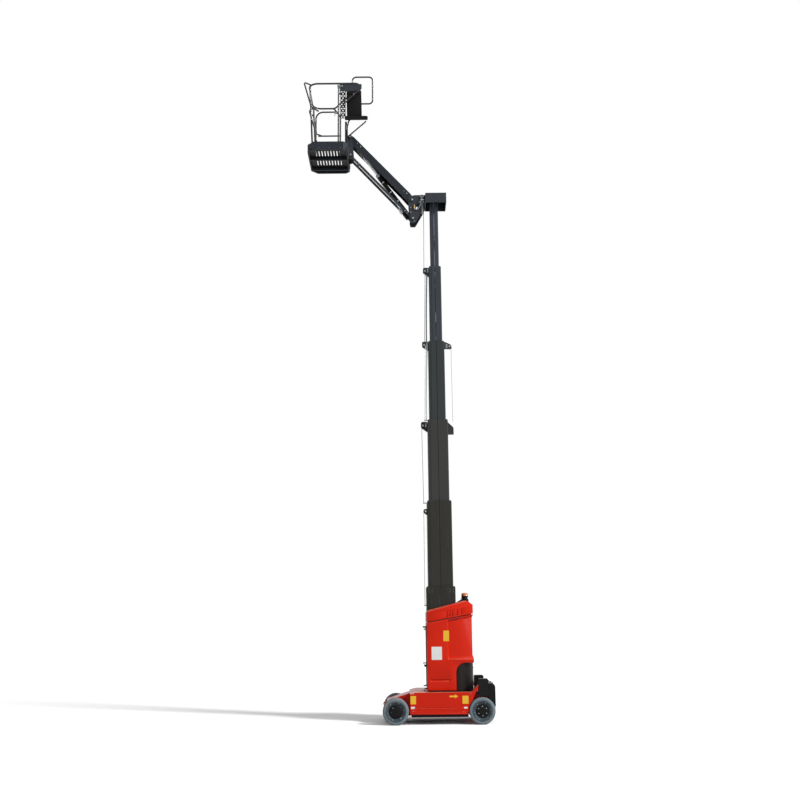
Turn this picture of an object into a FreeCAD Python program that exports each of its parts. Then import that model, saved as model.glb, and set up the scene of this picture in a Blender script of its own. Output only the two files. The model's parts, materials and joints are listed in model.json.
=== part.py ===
import FreeCAD, Part
import math
import os
from FreeCAD import Vector

# Self-propelled vertical mast lift with a levelled jib basket. Millimetres.
# Modelled with x = 0 on the mast axis, +X towards the basket, +Y to the left, +Z up;
# at the end every piece is moved so that the origin is the bottom centre of the machine's box.

# ---- driving dimensions -------------------------------------------------------------------
# wheels and axles
tyreRadius = 190.5
tyreWidth = 127.0
rimRadius = 127.0
rimWall = 15.0
overallWidth = 1000.0
frontAxleX = 700.0
rearAxleX = -560.0
stubRadius = 25.0
kingpinInset = 6.5           # kingpin axis inboard of the wheel's middle plane
kingpinRadius = 12.5
steerAngle = 45.0

# chassis
underZ = 105.0
panelZ = 146.0
deckZ = 453.0
chassisHalf = overallWidth / 2 - 15
noseHalf = 215.0
noseX = frontAxleX + 140
frontArchX = frontAxleX - tyreRadius - 19.5
rearArchX = rearAxleX + tyreRadius + 29.5
archGap = 12.0
boxFrontX = rearAxleX + 50
boxBackX = rearAxleX - 95
boxFloorZ = 2 * tyreRadius + 19
boxTopZ = boxFloorZ + 240
boxHalf = overallWidth / 2 - 10      # outer face of the rear boxes
creaseZ = 240.0              # pressed line along the side panel
creaseFrontX = frontArchX - 80
creaseEnd = (-128.0, 318.0)  # where it turns up, and how high it ends
creaseHalf = 5.0
creaseDepth = 4.0
guardBackX = rearAxleX - 200
guardHalf = overallWidth / 2 - 70

# turret and mast
slewX = -85.0
slewAngle = 172.5
turretFrontX = 228.0
turretBackX = -463.0
turretHalf = 380.0
turretWall = 12.0
slewGap = 9.5
plateThick = 12.0
coverSeamFront = 1435.0
coverSeamBack = 1555.0
lidFrontZ = 1620.0
lidPeakZ = 1770.0
lidBackZ = 1700.0
lidPeakX = -370.0
counterTopZ = 860.0
counterX = -200.0
counterRound = 140.0
ledgeZ = 930.0               # the rear half of the cover is set in above this line
ledgeX = -88.0
ledgeStep = 5.0

mastHalf = [220.0, 190.0, 160.0, 130.0, 100.0, 70.0]
mastTop = [1980.0, 3290.0, 4580.0, 5880.0, 7170.0]
mastWall = 12.0
grooveDepth = 2.5            # pressed lines down the sides of each section
grooveWidth = 6.0
edgeStrip = 42.0             # from the front edge to the second line
topChamfer = (10.0, 22.0)    # across and down, at the top of each section
mastTravel = 1270.0          # how far each of sections 1 to 4 slides into the one below
lastTravel = 850.0           # the same for section 5, which carries the head
stowGap = 8.0                # between a stowed section's foot and the turntable plate
ringHeight = 60.0
padGap = 0.5

# head and jib
headFrontX = 143.0
headBackX = -208.0
headHalf = 190.0
headZ = 8260.0
headTopZ = 8430.0
headWall = 10.0
pivotA = (360.0, 8340.0)     # boom on the head
linkOffset = (-10.0, -330.0)  # from a boom pivot to the link pivot below it
jibLength = 1562.0
jibAngle = 48.0
jibUp = 22.0
jibDown = 108.0
plateInner = 100.0
plateWall = 12.0
boomHalf = 80.0
boomDepth = 120.0
boomWall = 8.0
pinRadius = 15.0
pinGap = 0.05
barrelLength = 1020.0
barrelRadius = 35.0
rodRadius = 20.0
linkHalf = 18.0

# basket: drawn with the boom's end pin at basketPin, then carried to wherever the boom ends
basketPin = (1405.1820071325365, 9500.79221739569)
trayRearX = 1430.0
trayFrontX = 2100.0
trayHalf = 450.0
trayChamfer = 110.0
trayZ = 9100.0
trayFloor = 50.0
toeZ = 9245.0
sheet = 5.0
tubeRadius = 15.0
midRadius = 13.0
railHalf = 410.0
railTopZ = 10330.0
railMidZ = 9800.0
railNearX = 1172.0
railFarX = 1700.0
frontFootX = 2015.0           # feet of the front posts
ringX = 2085.0                # front bar of the top rail
ringBend = 150.0
midBarX = 2012.0              # front bar at middle height
loopTop = (2161.6, 462.0)     # corner loops: upper outer corner, along and across
loopLow = (2034.0, 9872.0)    # their lower corner, along and up
frontEndX = 2165.0            # foremost point of the machine, on the corner loops
anchorRadius = 12.0           # bore of the lanyard anchor
anchorZ = 9280.0
lugRadius = 15.0             # bore of the tie-down lugs
lugReach = 16.0              # bore's centre ahead of the nose
lugY = 126.0
lugZ = 272.0
lugThick = 12.0
gateHingeX = 1955.0
gateEndX = 1604.0
postX = 1580.0
farPostX = 1600.0
frontPostHalf = 375.0          # feet of the front legs
panelHalf = 375.0            # raised standing panel on the basket's floor
panelThick = 3.0
endGap = 0.2                 # between a tube's end and the face it is welded to

shapes = {}


# ---- helpers --------------------------------------------------------------------------------
def box(x0, x1, y0, y1, z0, z1):
    return Part.makeBox(x1 - x0, y1 - y0, z1 - z0, Vector(x0, y0, z0))


def rod(start, end, radius):
    start, end = Vector(*start), Vector(*end)
    return Part.makeCylinder(radius, (end - start).Length, start, end - start)


def roundedWire(points, radius, closed):
    """Straight runs joined by tangent arcs; radius is one value or one for each point."""
    pts = [Vector(*p) for p in points]
    n = len(pts)
    radii = list(radius) if isinstance(radius, (list, tuple)) else [radius] * n
    entry, leave, arcs = [None] * n, [None] * n, [None] * n
    for i in range(n):
        if (not closed and i in (0, n - 1)) or radii[i] == 0:
            entry[i] = leave[i] = pts[i]
            continue
        a = (pts[i - 1] - pts[i]).normalize()
        b = (pts[(i + 1) % n] - pts[i]).normalize()
        half = a.getAngle(b) / 2
        reach = radii[i] / math.tan(half)
        entry[i] = pts[i] + a * reach
        leave[i] = pts[i] + b * reach
        middle = (a + b).normalize() * (radii[i] / math.sin(half) - radii[i])
        arcs[i] = Part.Arc(entry[i], pts[i] + middle, leave[i]).toShape()
    edges = []
    for i in range(n if closed else n - 1):
        j = (i + 1) % n
        if arcs[i]:
            edges.append(arcs[i])
        if (entry[j] - leave[i]).Length > 0.01:
            edges.append(Part.LineSegment(leave[i], entry[j]).toShape())
    return Part.Wire(edges)


def sidePlate(points, y0, y1, radius=0):
    """A profile drawn in (x, z), from y0 to y1."""
    wire = roundedWire([(x, y0, z) for x, z in points], radius, True)
    return Part.Face(wire).extrude(Vector(0, y1 - y0, 0))


def planPlate(points, z0, z1, radius=0):
    """A profile drawn in (x, y), from z0 to z1."""
    wire = roundedWire([(x, y, z0) for x, y in points], radius, True)
    return Part.Face(wire).extrude(Vector(0, 0, z1 - z0))


def bentTube(points, bend, radius=tubeRadius):
    path = roundedWire(points, bend, False)
    start = Vector(*points[0])
    section = Part.Wire(Part.makeCircle(radius, start, Vector(*points[1]) - start))
    return path.makePipeShell([section], True, False)


def lathe(profile, x, y, z, side):
    """Turns a closed (outward distance, radius) profile about a wheel's axis."""
    wire = roundedWire([(x, y + side * d, z + r) for d, r in profile], 0, True)
    solid = Part.Face(wire).revolve(Vector(x, y, z), Vector(0, 1, 0), 360)
    return solid if solid.Volume > 0 else solid.reversed()


def join(solids):
    first = solids[0]
    return first.fuse(solids[1:]).removeSplitter() if len(solids) > 1 else first


def mirrored(shape):
    return shape.mirror(Vector(0, 0, 0), Vector(0, 1, 0))


def keep(name, *solids):
    shapes[name] = Part.makeCompound(list(solids)) if len(solids) > 1 else solids[0]


def jibPoint(along, across, origin=pivotA):
    """A point of the jib, measured along the boom's pivot line and square to it."""
    a = math.radians(jibAngle)
    return (
        origin[0] + along * math.cos(a) - across * math.sin(a),
        origin[1] + along * math.sin(a) + across * math.cos(a),
    )


pivotB = (pivotA[0] + linkOffset[0], pivotA[1] + linkOffset[1])
pivotC = jibPoint(jibLength, 0)
pivotD = (pivotC[0] + linkOffset[0], pivotC[1] + linkOffset[1])
wheelY = overallWidth / 2 - tyreWidth / 2
kingpinY = wheelY - kingpinInset
plateZ = deckZ + slewGap
coverZ = plateZ + plateThick
cylinderLength = math.hypot(pivotC[0] - pivotB[0], pivotC[1] - pivotB[1])
cylinderAngle = math.degrees(math.atan2(pivotC[1] - pivotB[1], pivotC[0] - pivotB[0]))
basketShift = (pivotC[0] - basketPin[0], pivotC[1] - basketPin[1])
midX = (frontEndX + basketShift[0] + guardBackX) / 2


# ---- chassis --------------------------------------------------------------------------------
def crease():
    """The pressed line along the side panel, with its rear end turned up."""
    low, high, turn = creaseZ - creaseHalf, creaseZ + creaseHalf, creaseHalf * (math.sqrt(2) - 1)
    rise = creaseEnd[1] - creaseZ
    rear = creaseEnd[0] - rise
    return sidePlate([(creaseFrontX, low), (creaseEnd[0] - turn, low), (rear - creaseHalf, creaseEnd[1] - turn),
                      (rear + creaseHalf, creaseEnd[1] + turn), (creaseEnd[0] + turn, high), (creaseFrontX, high)],
                     chassisHalf - creaseDepth, chassisHalf + 5)


def chassis():
    archTopX = boxFrontX + 42
    main = sidePlate(
        [(rearArchX, panelZ), (frontArchX, panelZ), (frontArchX, 429), (frontArchX - 80, deckZ), (archTopX, deckZ)],
        -chassisHalf, chassisHalf)
    nose = sidePlate(
        [(frontArchX, panelZ), (noseX - 80, panelZ), (noseX, 215), (noseX, 320), (noseX - 200, 385), (frontArchX, 429)],
        -noseHalf, noseHalf, [0, 30, 30, 40, 60, 0])
    tail = box(boxBackX, rearArchX, -345, 345, panelZ, deckZ)
    frame = join([main, nose, tail])
    fender = sidePlate(
        [(archTopX, deckZ), (boxFrontX + 100, deckZ), (boxFrontX, 555), (boxFrontX, 500)], 375, chassisHalf)
    frame = join([frame, fender, mirrored(fender)])
    arch = rod((rearAxleX, 358, tyreRadius), (rearAxleX, 600, tyreRadius), tyreRadius + archGap)
    frame = frame.cut(arch).cut(mirrored(arch))
    frame = frame.cut(crease()).cut(mirrored(crease()))
    lug = planPlate([(noseX - 20, lugY - 40), (noseX + 50, lugY - 40), (noseX + 50, lugY + 40),
                     (noseX - 20, lugY + 40)], lugZ - lugThick / 2, lugZ + lugThick / 2, [0, 34, 34, 0])
    lug = lug.cut(rod((noseX + lugReach, lugY, lugZ - 50), (noseX + lugReach, lugY, lugZ + 50), lugRadius))
    keep("chassis_frame", join([frame, lug, mirrored(lug)]))

    under = join([
        box(rearArchX - 20, frontArchX - 20, 45 - chassisHalf, chassisHalf - 45, underZ, panelZ),
        sidePlate([(frontArchX - 20, underZ), (noseX - 120, underZ), (noseX - 90, panelZ), (frontArchX - 20, panelZ)],
                  -noseHalf + 20, noseHalf - 20)])
    keep("underframe", under)

    bumper = sidePlate([(noseX - 8, 240), (noseX + 45, 225), (noseX + 45, 120), (noseX - 70, 120), (noseX - 70, 175)],
                       -200, 200, [0, 20, 20, 0, 0])
    keep("front_bumper", bumper.cut(shapes["chassis_frame"]).cut(under))

    boxes = []
    for side in (1, -1):
        y0, y1 = sorted((side * 352, side * boxHalf))
        boxes.append(sidePlate([(boxFrontX, boxFloorZ), (boxBackX, boxFloorZ), (boxBackX, boxTopZ),
                                (boxFrontX, boxTopZ)],
                               y0, y1, [12, 12, 22, 22]))
    keep("rear_boxes", *[b.cut(shapes["chassis_frame"]) for b in boxes])

    guard = sidePlate(
        [(boxBackX, 130), (guardBackX, 130), (guardBackX, 570), (boxBackX, 570)], -guardHalf, guardHalf,
        [0, 25, 55, 0])
    guard = guard.cut(sidePlate(
        [(boxBackX + 1, 142), (guardBackX + 12, 142), (guardBackX + 12, 558), (boxBackX + 1, 558)],
        12 - guardHalf, guardHalf - 12, [0, 13, 43, 0]))
    for side in (1, -1):
        for row in range(3):
            y0, y1 = sorted((side * 190, side * 380))
            z = 290 + row * 80
            guard = guard.cut(box(guardBackX - 5, guardBackX + 20, y0, y1, z, z + 36))
        y0, y1 = sorted((side * 358, side * 600))
        guard = guard.cut(rod((rearAxleX, y0, tyreRadius), (rearAxleX, y1, tyreRadius), tyreRadius + archGap))
        guard = guard.cut(box(guardBackX - 5, boxBackX + 5, y0, y1, 100, tyreRadius + 60))
        y0, y1 = sorted((side * 130, side * 142))
        guard = guard.fuse(box(guardBackX + 6, boxBackX, y0, y1, 136, 564))
    keep("rear_guard", guard)

    ring = Part.makeCylinder(300, slewGap - 0.5, Vector(slewX, 0, deckZ))
    keep("slew_ring", ring.cut(Part.makeCylinder(180, 50, Vector(slewX, 0, deckZ - 1))))


def axles():
    z = tyreRadius
    arms, knuckleHalf, earTop = [], 46.0, 66.0
    for side in (1, -1):
        y0, y1 = sorted((side * noseHalf, side * (kingpinY - 58)))
        web0, web1 = sorted((side * (kingpinY - 78), side * (kingpinY - 60)))
        ear0, ear1 = sorted((side * (kingpinY - 62), side * kingpinY))
        arm = join([
            box(frontAxleX - 24, frontAxleX + 24, y0, y1, z - 30, z + 30),
            box(frontAxleX - 24, frontAxleX + 24, web0, web1, z - earTop, z + earTop),
            box(frontAxleX - 24, frontAxleX + 24, ear0, ear1, z + knuckleHalf + 1, z + earTop),
            box(frontAxleX - 24, frontAxleX + 24, ear0, ear1, z - earTop, z - knuckleHalf - 1),
            Part.makeCylinder(24, earTop - knuckleHalf - 1, Vector(frontAxleX, side * kingpinY, z + knuckleHalf + 1)),
            Part.makeCylinder(24, earTop - knuckleHalf - 1, Vector(frontAxleX, side * kingpinY, z - earTop)),
            Part.makeCylinder(kingpinRadius, 2 * earTop, Vector(frontAxleX, side * kingpinY, z - earTop))])
        arms.append(arm)
        barrel = Part.makeCylinder(23, 2 * knuckleHalf, Vector(frontAxleX, side * kingpinY, z - knuckleHalf))
        stub = rod((frontAxleX, side * (kingpinY + 10), z), (frontAxleX, side * (wheelY + 48), z), stubRadius)
        flange = rod((frontAxleX, side * (kingpinY + 18), z), (frontAxleX, side * (kingpinY + 26), z), knuckleHalf - 4)
        knuckle = join([barrel, stub, flange])
        knuckle = knuckle.cut(
            Part.makeCylinder(kingpinRadius + pinGap, 200, Vector(frontAxleX, side * kingpinY, z - 100)))
        keep("knuckle_left" if side > 0 else "knuckle_right", knuckle)
    keep("front_axle", *arms)

    halves = []
    for side in (1, -1):
        case = rod((rearAxleX, side * 345, z), (rearAxleX, side * (wheelY - 35), z), 88)
        stub = rod((rearAxleX, side * 345, z), (rearAxleX, side * (wheelY + 48), z), stubRadius)
        halves.append(join([case, stub]))
    keep("drive_axle", *halves)


def wheels():
    half = tyreWidth / 2
    gap = 0.3
    shoulder = 16.0
    tyre = [(-half + shoulder, tyreRadius), (half - shoulder, tyreRadius), (half - 4, tyreRadius - 9),
            (half, tyreRadius - 26), (half, rimRadius + 6), (half - 8, rimRadius),
            (-half + 8, rimRadius), (-half, rimRadius + 6), (-half, tyreRadius - 26), (-half + 4, tyreRadius - 9)]
    inner = rimRadius - rimWall
    face = half - 26.0
    rim = [(-half + 6, rimRadius), (half - 8, rimRadius), (half - 8, rimRadius - 8), (face + 10, inner - 4),
           (face, 78), (face + 6, 60), (face + 22, 52), (face + 24, 0), (face + 14, 0),
           (face + 14, stubRadius + 0.08), (face - 14, stubRadius + 0.08), (face - 14, inner),
           (-half + 6, inner)]
    for name, x, side in (("front_left", frontAxleX, 1), ("front_right", frontAxleX, -1),
                          ("rear_left", rearAxleX, 1), ("rear_right", rearAxleX, -1)):
        y = side * wheelY
        keep("tyre_" + name, lathe(tyre, x, y, tyreRadius, side))
        keep("rim_" + name, lathe(rim, x, y, tyreRadius, side))


# ---- turret ---------------------------------------------------------------------------------
def turretPlan(inset, z0, z1):
    front, back, half = turretFrontX - inset, turretBackX + inset, turretHalf - inset
    return planPlate([(front, -half), (front, half), (back, half), (back, -half)], z0, z1,
                     [60 - inset, 60 - inset, 250 - inset, 250 - inset])


def turretSkin(depth, z0, z1):
    """The outermost layer of the turret's wall."""
    return turretPlan(0, z0, z1).cut(turretPlan(depth, z0 - 1, z1 + 1))


def coverRelief():
    """Ledge, recessed bars and flutes, taken off the cover."""
    wide = turretHalf + 20
    cuts = [turretSkin(ledgeStep, ledgeZ, lidPeakZ).common(
        box(turretBackX - 20, ledgeX, -wide, wide, ledgeZ, lidPeakZ))]
    corner = 250.0
    for side in (1, -1):
        y0, y1 = sorted((side * (turretHalf - 5), side * wide))
        cuts.append(box(-102, 175, y0, y1, 597, 623))
        for turn in (16, 40, 64):
            a = math.radians(turn)
            reach = corner - ledgeStep + 3
            cuts.append(Part.makeCylinder(7, 510, Vector(turretBackX + corner - reach * math.sin(a),
                                                         side * (turretHalf - corner + reach * math.cos(a)), 965)))
    return cuts


def turret():
    wide = turretHalf + 20
    keep("turntable_plate", turretPlan(0, plateZ, coverZ))

    well = box(-mastHalf[0] - 6, turretFrontX + 20, -mastHalf[0] - 6, mastHalf[0] + 6, coverZ - 1, lidPeakZ + 50)
    counterGap = 4.0
    counter = [(turretBackX - 20, coverZ), (counterX, coverZ), (counterX, counterTopZ),
               (turretBackX - 20, counterTopZ)]
    block = sidePlate(counter, -wide, wide, [0, 0, counterRound, 0])
    keep("counterweight", turretPlan(0, coverZ, counterTopZ).common(block).cut(
        box(-mastHalf[0] - 6, turretFrontX, -mastHalf[0] - 6, mastHalf[0] + 6, coverZ - 1, 1000)))

    room = sidePlate([(turretBackX - 30, coverZ - 1), (counterX + counterGap, coverZ - 1),
                      (counterX + counterGap, counterTopZ + counterGap),
                      (turretBackX - 30, counterTopZ + counterGap)], -wide, wide, [0, 0, counterRound, 0])
    shell = turretPlan(0, coverZ, lidPeakZ).cut(turretPlan(turretWall, coverZ - 1, lidPeakZ + 1))
    def seam(x, above=0.0):
        share = (turretFrontX - x) / (turretFrontX - turretBackX)
        return coverSeamFront + share * (coverSeamBack - coverSeamFront) + above

    front, back = turretFrontX + 2, turretBackX - 2
    below = sidePlate([(back, coverZ - 1), (front, coverZ - 1), (front, seam(front)), (back, seam(back))],
                      -wide, wide)
    cover = shell.common(below).cut(room).cut(well).cut(coverRelief())
    keep("turret_cover", *cover.Solids)

    outer = sidePlate([(front, seam(front, endGap)), (front, lidFrontZ), (lidPeakX, lidPeakZ), (back, lidBackZ),
                       (back, seam(back, endGap))], -wide, wide, [0, 40, 30, 30, 0])
    hollow = sidePlate([(front, seam(front, -9)), (front, lidFrontZ - turretWall),
                        (lidPeakX, lidPeakZ - turretWall), (back, lidBackZ - turretWall),
                        (back, seam(back, -9))], -wide, wide, [0, 30, 20, 20, 0])
    lidForm = turretPlan(0, coverSeamFront - 50, lidPeakZ + 5).common(outer)
    lid = lidForm.cut(turretPlan(turretWall, coverSeamFront - 60, lidPeakZ + 6).common(hollow)).cut(well)
    skin = turretSkin(4, coverSeamFront, lidPeakZ)
    for x in (-75, -150, -225, -300):
        z = seam(x, 34)
        lid = lid.cut(skin.common(box(x - 11, x + 11, -wide, wide, z, z + 80)))
    keep("turret_lid", *lid.Solids)

    z = lidPeakZ + 4
    bracket = join([box(lidPeakX - 55, lidPeakX + 55, -50, 50, z - 40, z + 10),
                    sidePlate([(lidPeakX + 30, z - 40), (-240, z - 60), (-240, z - 32), (lidPeakX + 55, z + 10)],
                              -30, 30)])
    keep("beacon_bracket", bracket.cut(lidForm))
    lensFoot, lensTop = lidPeakZ + 14, lidPeakZ + 92
    lens = Part.makeCylinder(55, lensTop - lensFoot, Vector(lidPeakX, 0, lensFoot))
    lens = lens.fuse(Part.makeSphere(55, Vector(lidPeakX, 0, lensTop)).common(
        box(-500, -200, -100, 100, lensTop, lensTop + 20))).removeSplitter()
    keep("beacon", lens)


# ---- mast -----------------------------------------------------------------------------------
def drop(k):
    """How far section k comes down when the mast is stowed."""
    return k * mastTravel if k < 5 else 4 * mastTravel + lastTravel


# section, side (1 front, -1 rear), reach, top below the section's top, height, place across, width
brackets = [
    (1, 1, 58, 130, 100, 145, 40),
    (2, 1, 103, 0, 170, -66, 40),
    (3, 1, 100, 0, 155, 66, 40),
    (4, 1, 95, 0, 155, 0, 44),
    (2, -1, 100, 0, 210, -62, 24),
    (3, -1, 118, 0, 120, 55, 40),
]


def sectionTop(k):
    return mastTop[k] if k < 5 else headTopZ - headWall


def sectionFoot(k):
    return coverZ if k == 0 else coverZ + stowGap + 2 * (k - 1) + drop(k)


def pulleyBracket(k, side, reach, below, height, across, width):
    """Two cheeks round a grooved pulley on the face of a section."""
    face = side * mastHalf[k]
    top = mastTop[k] - below
    tip = face + side * reach
    y0, y1 = across - width / 2, across + width / 2
    if side > 0:
        outline = [(face, top), (tip, top), (tip, top - height * 0.55), (face, top - height)]
        body = sidePlate(outline, y0, y1, [0, 28, 28, 0])
    else:
        outline = [(face, top), (tip, top - height * 0.45), (tip, top - height), (face, top - height)]
        body = sidePlate(outline, y0, y1, [0, min(60, reach * 0.5), 6, 0])
    wheelX = face + side * (reach - 34)
    wheelZ = top - height * 0.36 if side > 0 else top - height * 0.66
    if width > 30:
        slot = Part.makeCylinder(31, width - 16, Vector(wheelX, y0 + 8, wheelZ), Vector(0, 1, 0))
        pulley = Part.makeCylinder(27, width - 20, Vector(wheelX, y0 + 10, wheelZ), Vector(0, 1, 0))
        groove = Part.makeTorus(29, 7, Vector(wheelX, across, wheelZ), Vector(0, 1, 0))
        axle = Part.makeCylinder(9, width + 12, Vector(wheelX, y0 - 6, wheelZ), Vector(0, 1, 0))
        body = body.cut(slot).fuse([pulley.cut(groove), axle])
    return body


def grooves(half, mirror=False):
    """Corner points of the two pressed lines on a section's side, from front to rear."""
    points = []
    for x in (half - edgeStrip, 0.0):
        a, b = x + grooveWidth / 2, x - grooveWidth / 2
        points += [(a, half), (a, half - grooveDepth), (b, half - grooveDepth), (b, half)]
    return [(-x, y) for x, y in reversed(points)] if mirror else points


def topBevel(half, top):
    """What is taken off the front and rear top edges of a section."""
    across, down = topChamfer
    wedge = sidePlate([(half - across, top + 1), (half + 1, top + 1), (half + 1, top - down), (half, top - down),
                       (half - across, top)], -half - 1, half + 1)
    return wedge.fuse(wedge.mirror(Vector(0, 0, 0), Vector(1, 0, 0)))


def mastSection(k):
    half, top, foot = mastHalf[k], sectionTop(k), sectionFoot(k)
    inner = half - mastWall
    edge = 14.0
    outline = [(half, -half), (half, half)] + grooves(half) + [(-half, half), (-half, -half)]
    outline += [(-x, -y) for x, y in grooves(half, mirror=True)]
    hole = [(inner, -inner), (inner, inner), (-inner, inner), (-inner, -inner)]
    corners = [edge, edge] + [0] * 8 + [edge, edge] + [0] * 8
    tube = planPlate(outline, foot, top, corners).cut(planPlate(hole, foot - 1, top + 1, 8))
    tube = tube.cut(topBevel(half, top))
    parts = [tube]
    if k < 5:
        next_ = mastHalf[k + 1] + padGap
        guide = planPlate(hole, top - 20 - ringHeight, top - 20, 8).cut(
            box(-next_, next_, -next_, next_, foot, top))
        parts.append(guide)
    if k > 0:
        outer = mastHalf[k - 1] - mastWall - padGap
        shoe = planPlate([(outer, -outer), (outer, outer), (-outer, outer), (-outer, -outer)],
                         foot, foot + ringHeight, 10).cut(box(-inner - 2, inner + 2, -inner - 2, inner + 2, foot, top))
        parts.append(shoe)
    body = join(parts)
    for section, side, reach, below, height, across, width in brackets:
        if section <= k or mastHalf[section] + reach <= inner - 4:
            continue
        stowed = mastTop[section] - below - height - drop(section)
        low = stowed + drop(k) - 10
        x0, x1 = sorted((side * (inner - 40), side * (half + 1)))
        body = body.cut(box(x0, x1, across - width / 2 - 12, across + width / 2 + 12, low, top + 1))
    for entry in brackets:
        if entry[0] == k:
            body = body.fuse(pulleyBracket(*entry))
    return body


def mast():
    for k in range(6):
        body = mastSection(k)
        if k == 0:
            guides = [rod((mastHalf[0] - 2, 0, z), (mastHalf[0] + 45, 0, z), 9) for z in (520, 800, 1345)]
            body = body.fuse(guides)
        keep("mast_section_%d" % k, *body.Solids)


# ---- head and jib ---------------------------------------------------------------------------
def acrossRod(x, z, half, radius):
    return rod((x, -half, z), (x, half, z), radius)


def head():
    outer = sidePlate([(headFrontX, headZ), (headFrontX, headTopZ), (headBackX, headTopZ), (headBackX, headZ)],
                      -headHalf, headHalf, [0, 8, 8, 0])
    inner = box(headBackX + headWall, headFrontX - headWall, -headHalf + headWall, headHalf - headWall,
                headZ - 1, headTopZ - headWall)
    keep("head_box", outer.cut(inner))

    ax, az = pivotA
    bx, bz = pivotB
    tipZ = bz - 68
    outline = [(headFrontX, headTopZ - 4), (headFrontX, headZ), (headFrontX + 20, headZ - 60), (bx - 40, tipZ),
               (bx + 44, tipZ), (bx + 54, bz - 6), (bx + 50, bz + 70), (ax + 62, az - 60), (ax + 62, az + 62),
               (ax - 40, headTopZ - 4)]
    plate = sidePlate(outline, plateInner, plateInner + plateWall, [0, 0, 20, 18, 14, 30, 60, 50, 60, 40])
    plate = plate.cut(sidePlate([(headFrontX + 62, headZ + 52), (headFrontX + 62, headZ - 60),
                                 (ax - 62, headZ - 120), (ax - 62, headZ + 52)],
                                plateInner - 1, plateInner + plateWall + 1, 26))
    both = [plate, mirrored(plate)]
    reach = plateInner + plateWall
    pins = [acrossRod(ax, az, reach + 6, pinRadius), acrossRod(bx, bz, reach + 6, pinRadius),
            acrossRod(headFrontX + 34, headZ - 66, reach, 12), acrossRod(headFrontX + 62, headTopZ - 44, reach, 14)]
    keep("head_plates", join(both + pins))


def jib():
    ax, az = pivotA
    turn = (Vector(ax, 0, az), Vector(0, 1, 0), -jibAngle)

    def place(shape):
        shape.rotate(*turn)
        return shape

    deep = boomDepth / 2
    length = jibLength
    slotStart = 800.0
    outline = [(-46, -44), (50, -66), (190, -deep), (length + 18, -deep), (length + 42, 0), (length - 10, deep),
               (120, deep + 6), (-20, 46), (-58, 0)]
    profile = [(ax + x, az + z) for x, z in outline]
    solid = sidePlate(profile, -boomHalf, boomHalf, [40, 120, 200, 40, 30, 50, 160, 60, 40])
    channel = box(ax - 100, ax + length + 100, -boomHalf + boomWall, boomHalf - boomWall,
                  az - 100, az + deep - boomWall)
    boom = solid.cut(channel)
    boom = boom.cut(box(ax + slotStart, ax + length + 100, -45, 45, az, az + deep + 20))
    boom = boom.cut(box(ax - 100, ax + 95, -boomHalf + boomWall, boomHalf - boomWall, az - 100, az + 150))
    bosses = []
    for u in (0, length):
        for side in (1, -1):
            y0, y1 = sorted((side * (boomHalf - boomWall - 16), side * (boomHalf + 8)))
            bosses.append(rod((ax + u, y0, az), (ax + u, y1, az), 38))
    stiffener = box(ax + 180, ax + 190, -boomHalf + 2, boomHalf - 2, az + 20, az + deep - 2)
    boom = boom.fuse(bosses + [stiffener])
    for u in (0, length):
        boom = boom.cut(rod((ax + u, -200, az), (ax + u, 200, az), pinRadius + pinGap))
    keep("jib_boom", place(boom.removeSplitter()))

    bx, bz = pivotB
    bars = []
    for side in (1, -1):
        y0, y1 = sorted((side * 70, side * 94))
        bar = sidePlate([(bx, bz - linkHalf), (bx + length, bz - linkHalf), (bx + length, bz + linkHalf),
                         (bx, bz + linkHalf)], y0, y1)
        eyes = [rod((bx + u, y0, bz), (bx + u, y1, bz), linkHalf + 9) for u in (0, length)]
        bar = join([bar] + eyes)
        for u in (0, length):
            bar = bar.cut(rod((bx + u, -200, bz), (bx + u, 200, bz), pinRadius + pinGap))
        bars.append(bar)
    tie = rod((bx + length - 200, -70, bz - 8), (bx + length - 200, 70, bz - 8), 12)
    link = join(bars + [tie])
    link.rotate(Vector(bx, 0, bz), Vector(0, 1, 0), -jibAngle)
    keep("link_bars", link)

    full = cylinderLength
    bore = rodRadius + pinGap
    barrel = join([rod((bx + 40, 0, bz), (bx + barrelLength, 0, bz), barrelRadius),
                   rod((bx + barrelLength - 50, 0, bz), (bx + barrelLength, 0, bz), barrelRadius + 4),
                   box(bx, bx + 60, -28, 28, bz - 28, bz + 28), rod((bx, -28, bz), (bx, 28, bz), 32)])
    barrel = barrel.cut(rod((bx + 70, 0, bz), (bx + barrelLength - 40, 0, bz), barrelRadius - 7))
    barrel = barrel.cut(rod((bx + barrelLength - 60, 0, bz), (bx + barrelLength + 1, 0, bz), bore))
    barrel = barrel.cut(acrossRod(bx, bz, 60, pinRadius + pinGap))
    block = box(bx + 80, bx + 190, -30, 30, bz - 72, bz - 30)
    barrel = barrel.fuse(block.cut(rod((bx + 70, 0, bz), (bx + 300, 0, bz), barrelRadius - 7)))
    pistonX = bx + barrelLength - 240
    ram = join([rod((pistonX, 0, bz), (bx + full - 20, 0, bz), rodRadius),
                rod((pistonX, 0, bz), (pistonX + 50, 0, bz), barrelRadius - 7 - pinGap),
                rod((bx + full, -24, bz), (bx + full, 24, bz), 32)])
    ram = ram.cut(acrossRod(bx + full, bz, 60, pinRadius + 1))
    for shape, name in ((barrel, "cylinder_barrel"), (ram, "cylinder_rod")):
        shape.rotate(Vector(bx, 0, bz), Vector(0, 1, 0), -cylinderAngle)
        keep(name, shape)


# ---- basket ---------------------------------------------------------------------------------
def trayPlan(inset, z0, z1):
    c = trayChamfer - inset * (2 - math.sqrt(2))
    x0, x1, h = trayRearX + inset, trayFrontX - inset, trayHalf - inset
    return planPlate([(x0, -h + c * 0.6), (x0 + c * 0.6, -h), (x1 - c, -h), (x1, -h + c), (x1, h - c), (x1 - c, h),
                      (x0 + c * 0.6, h), (x0, h - c * 0.6)], z0, z1, 12)


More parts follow.
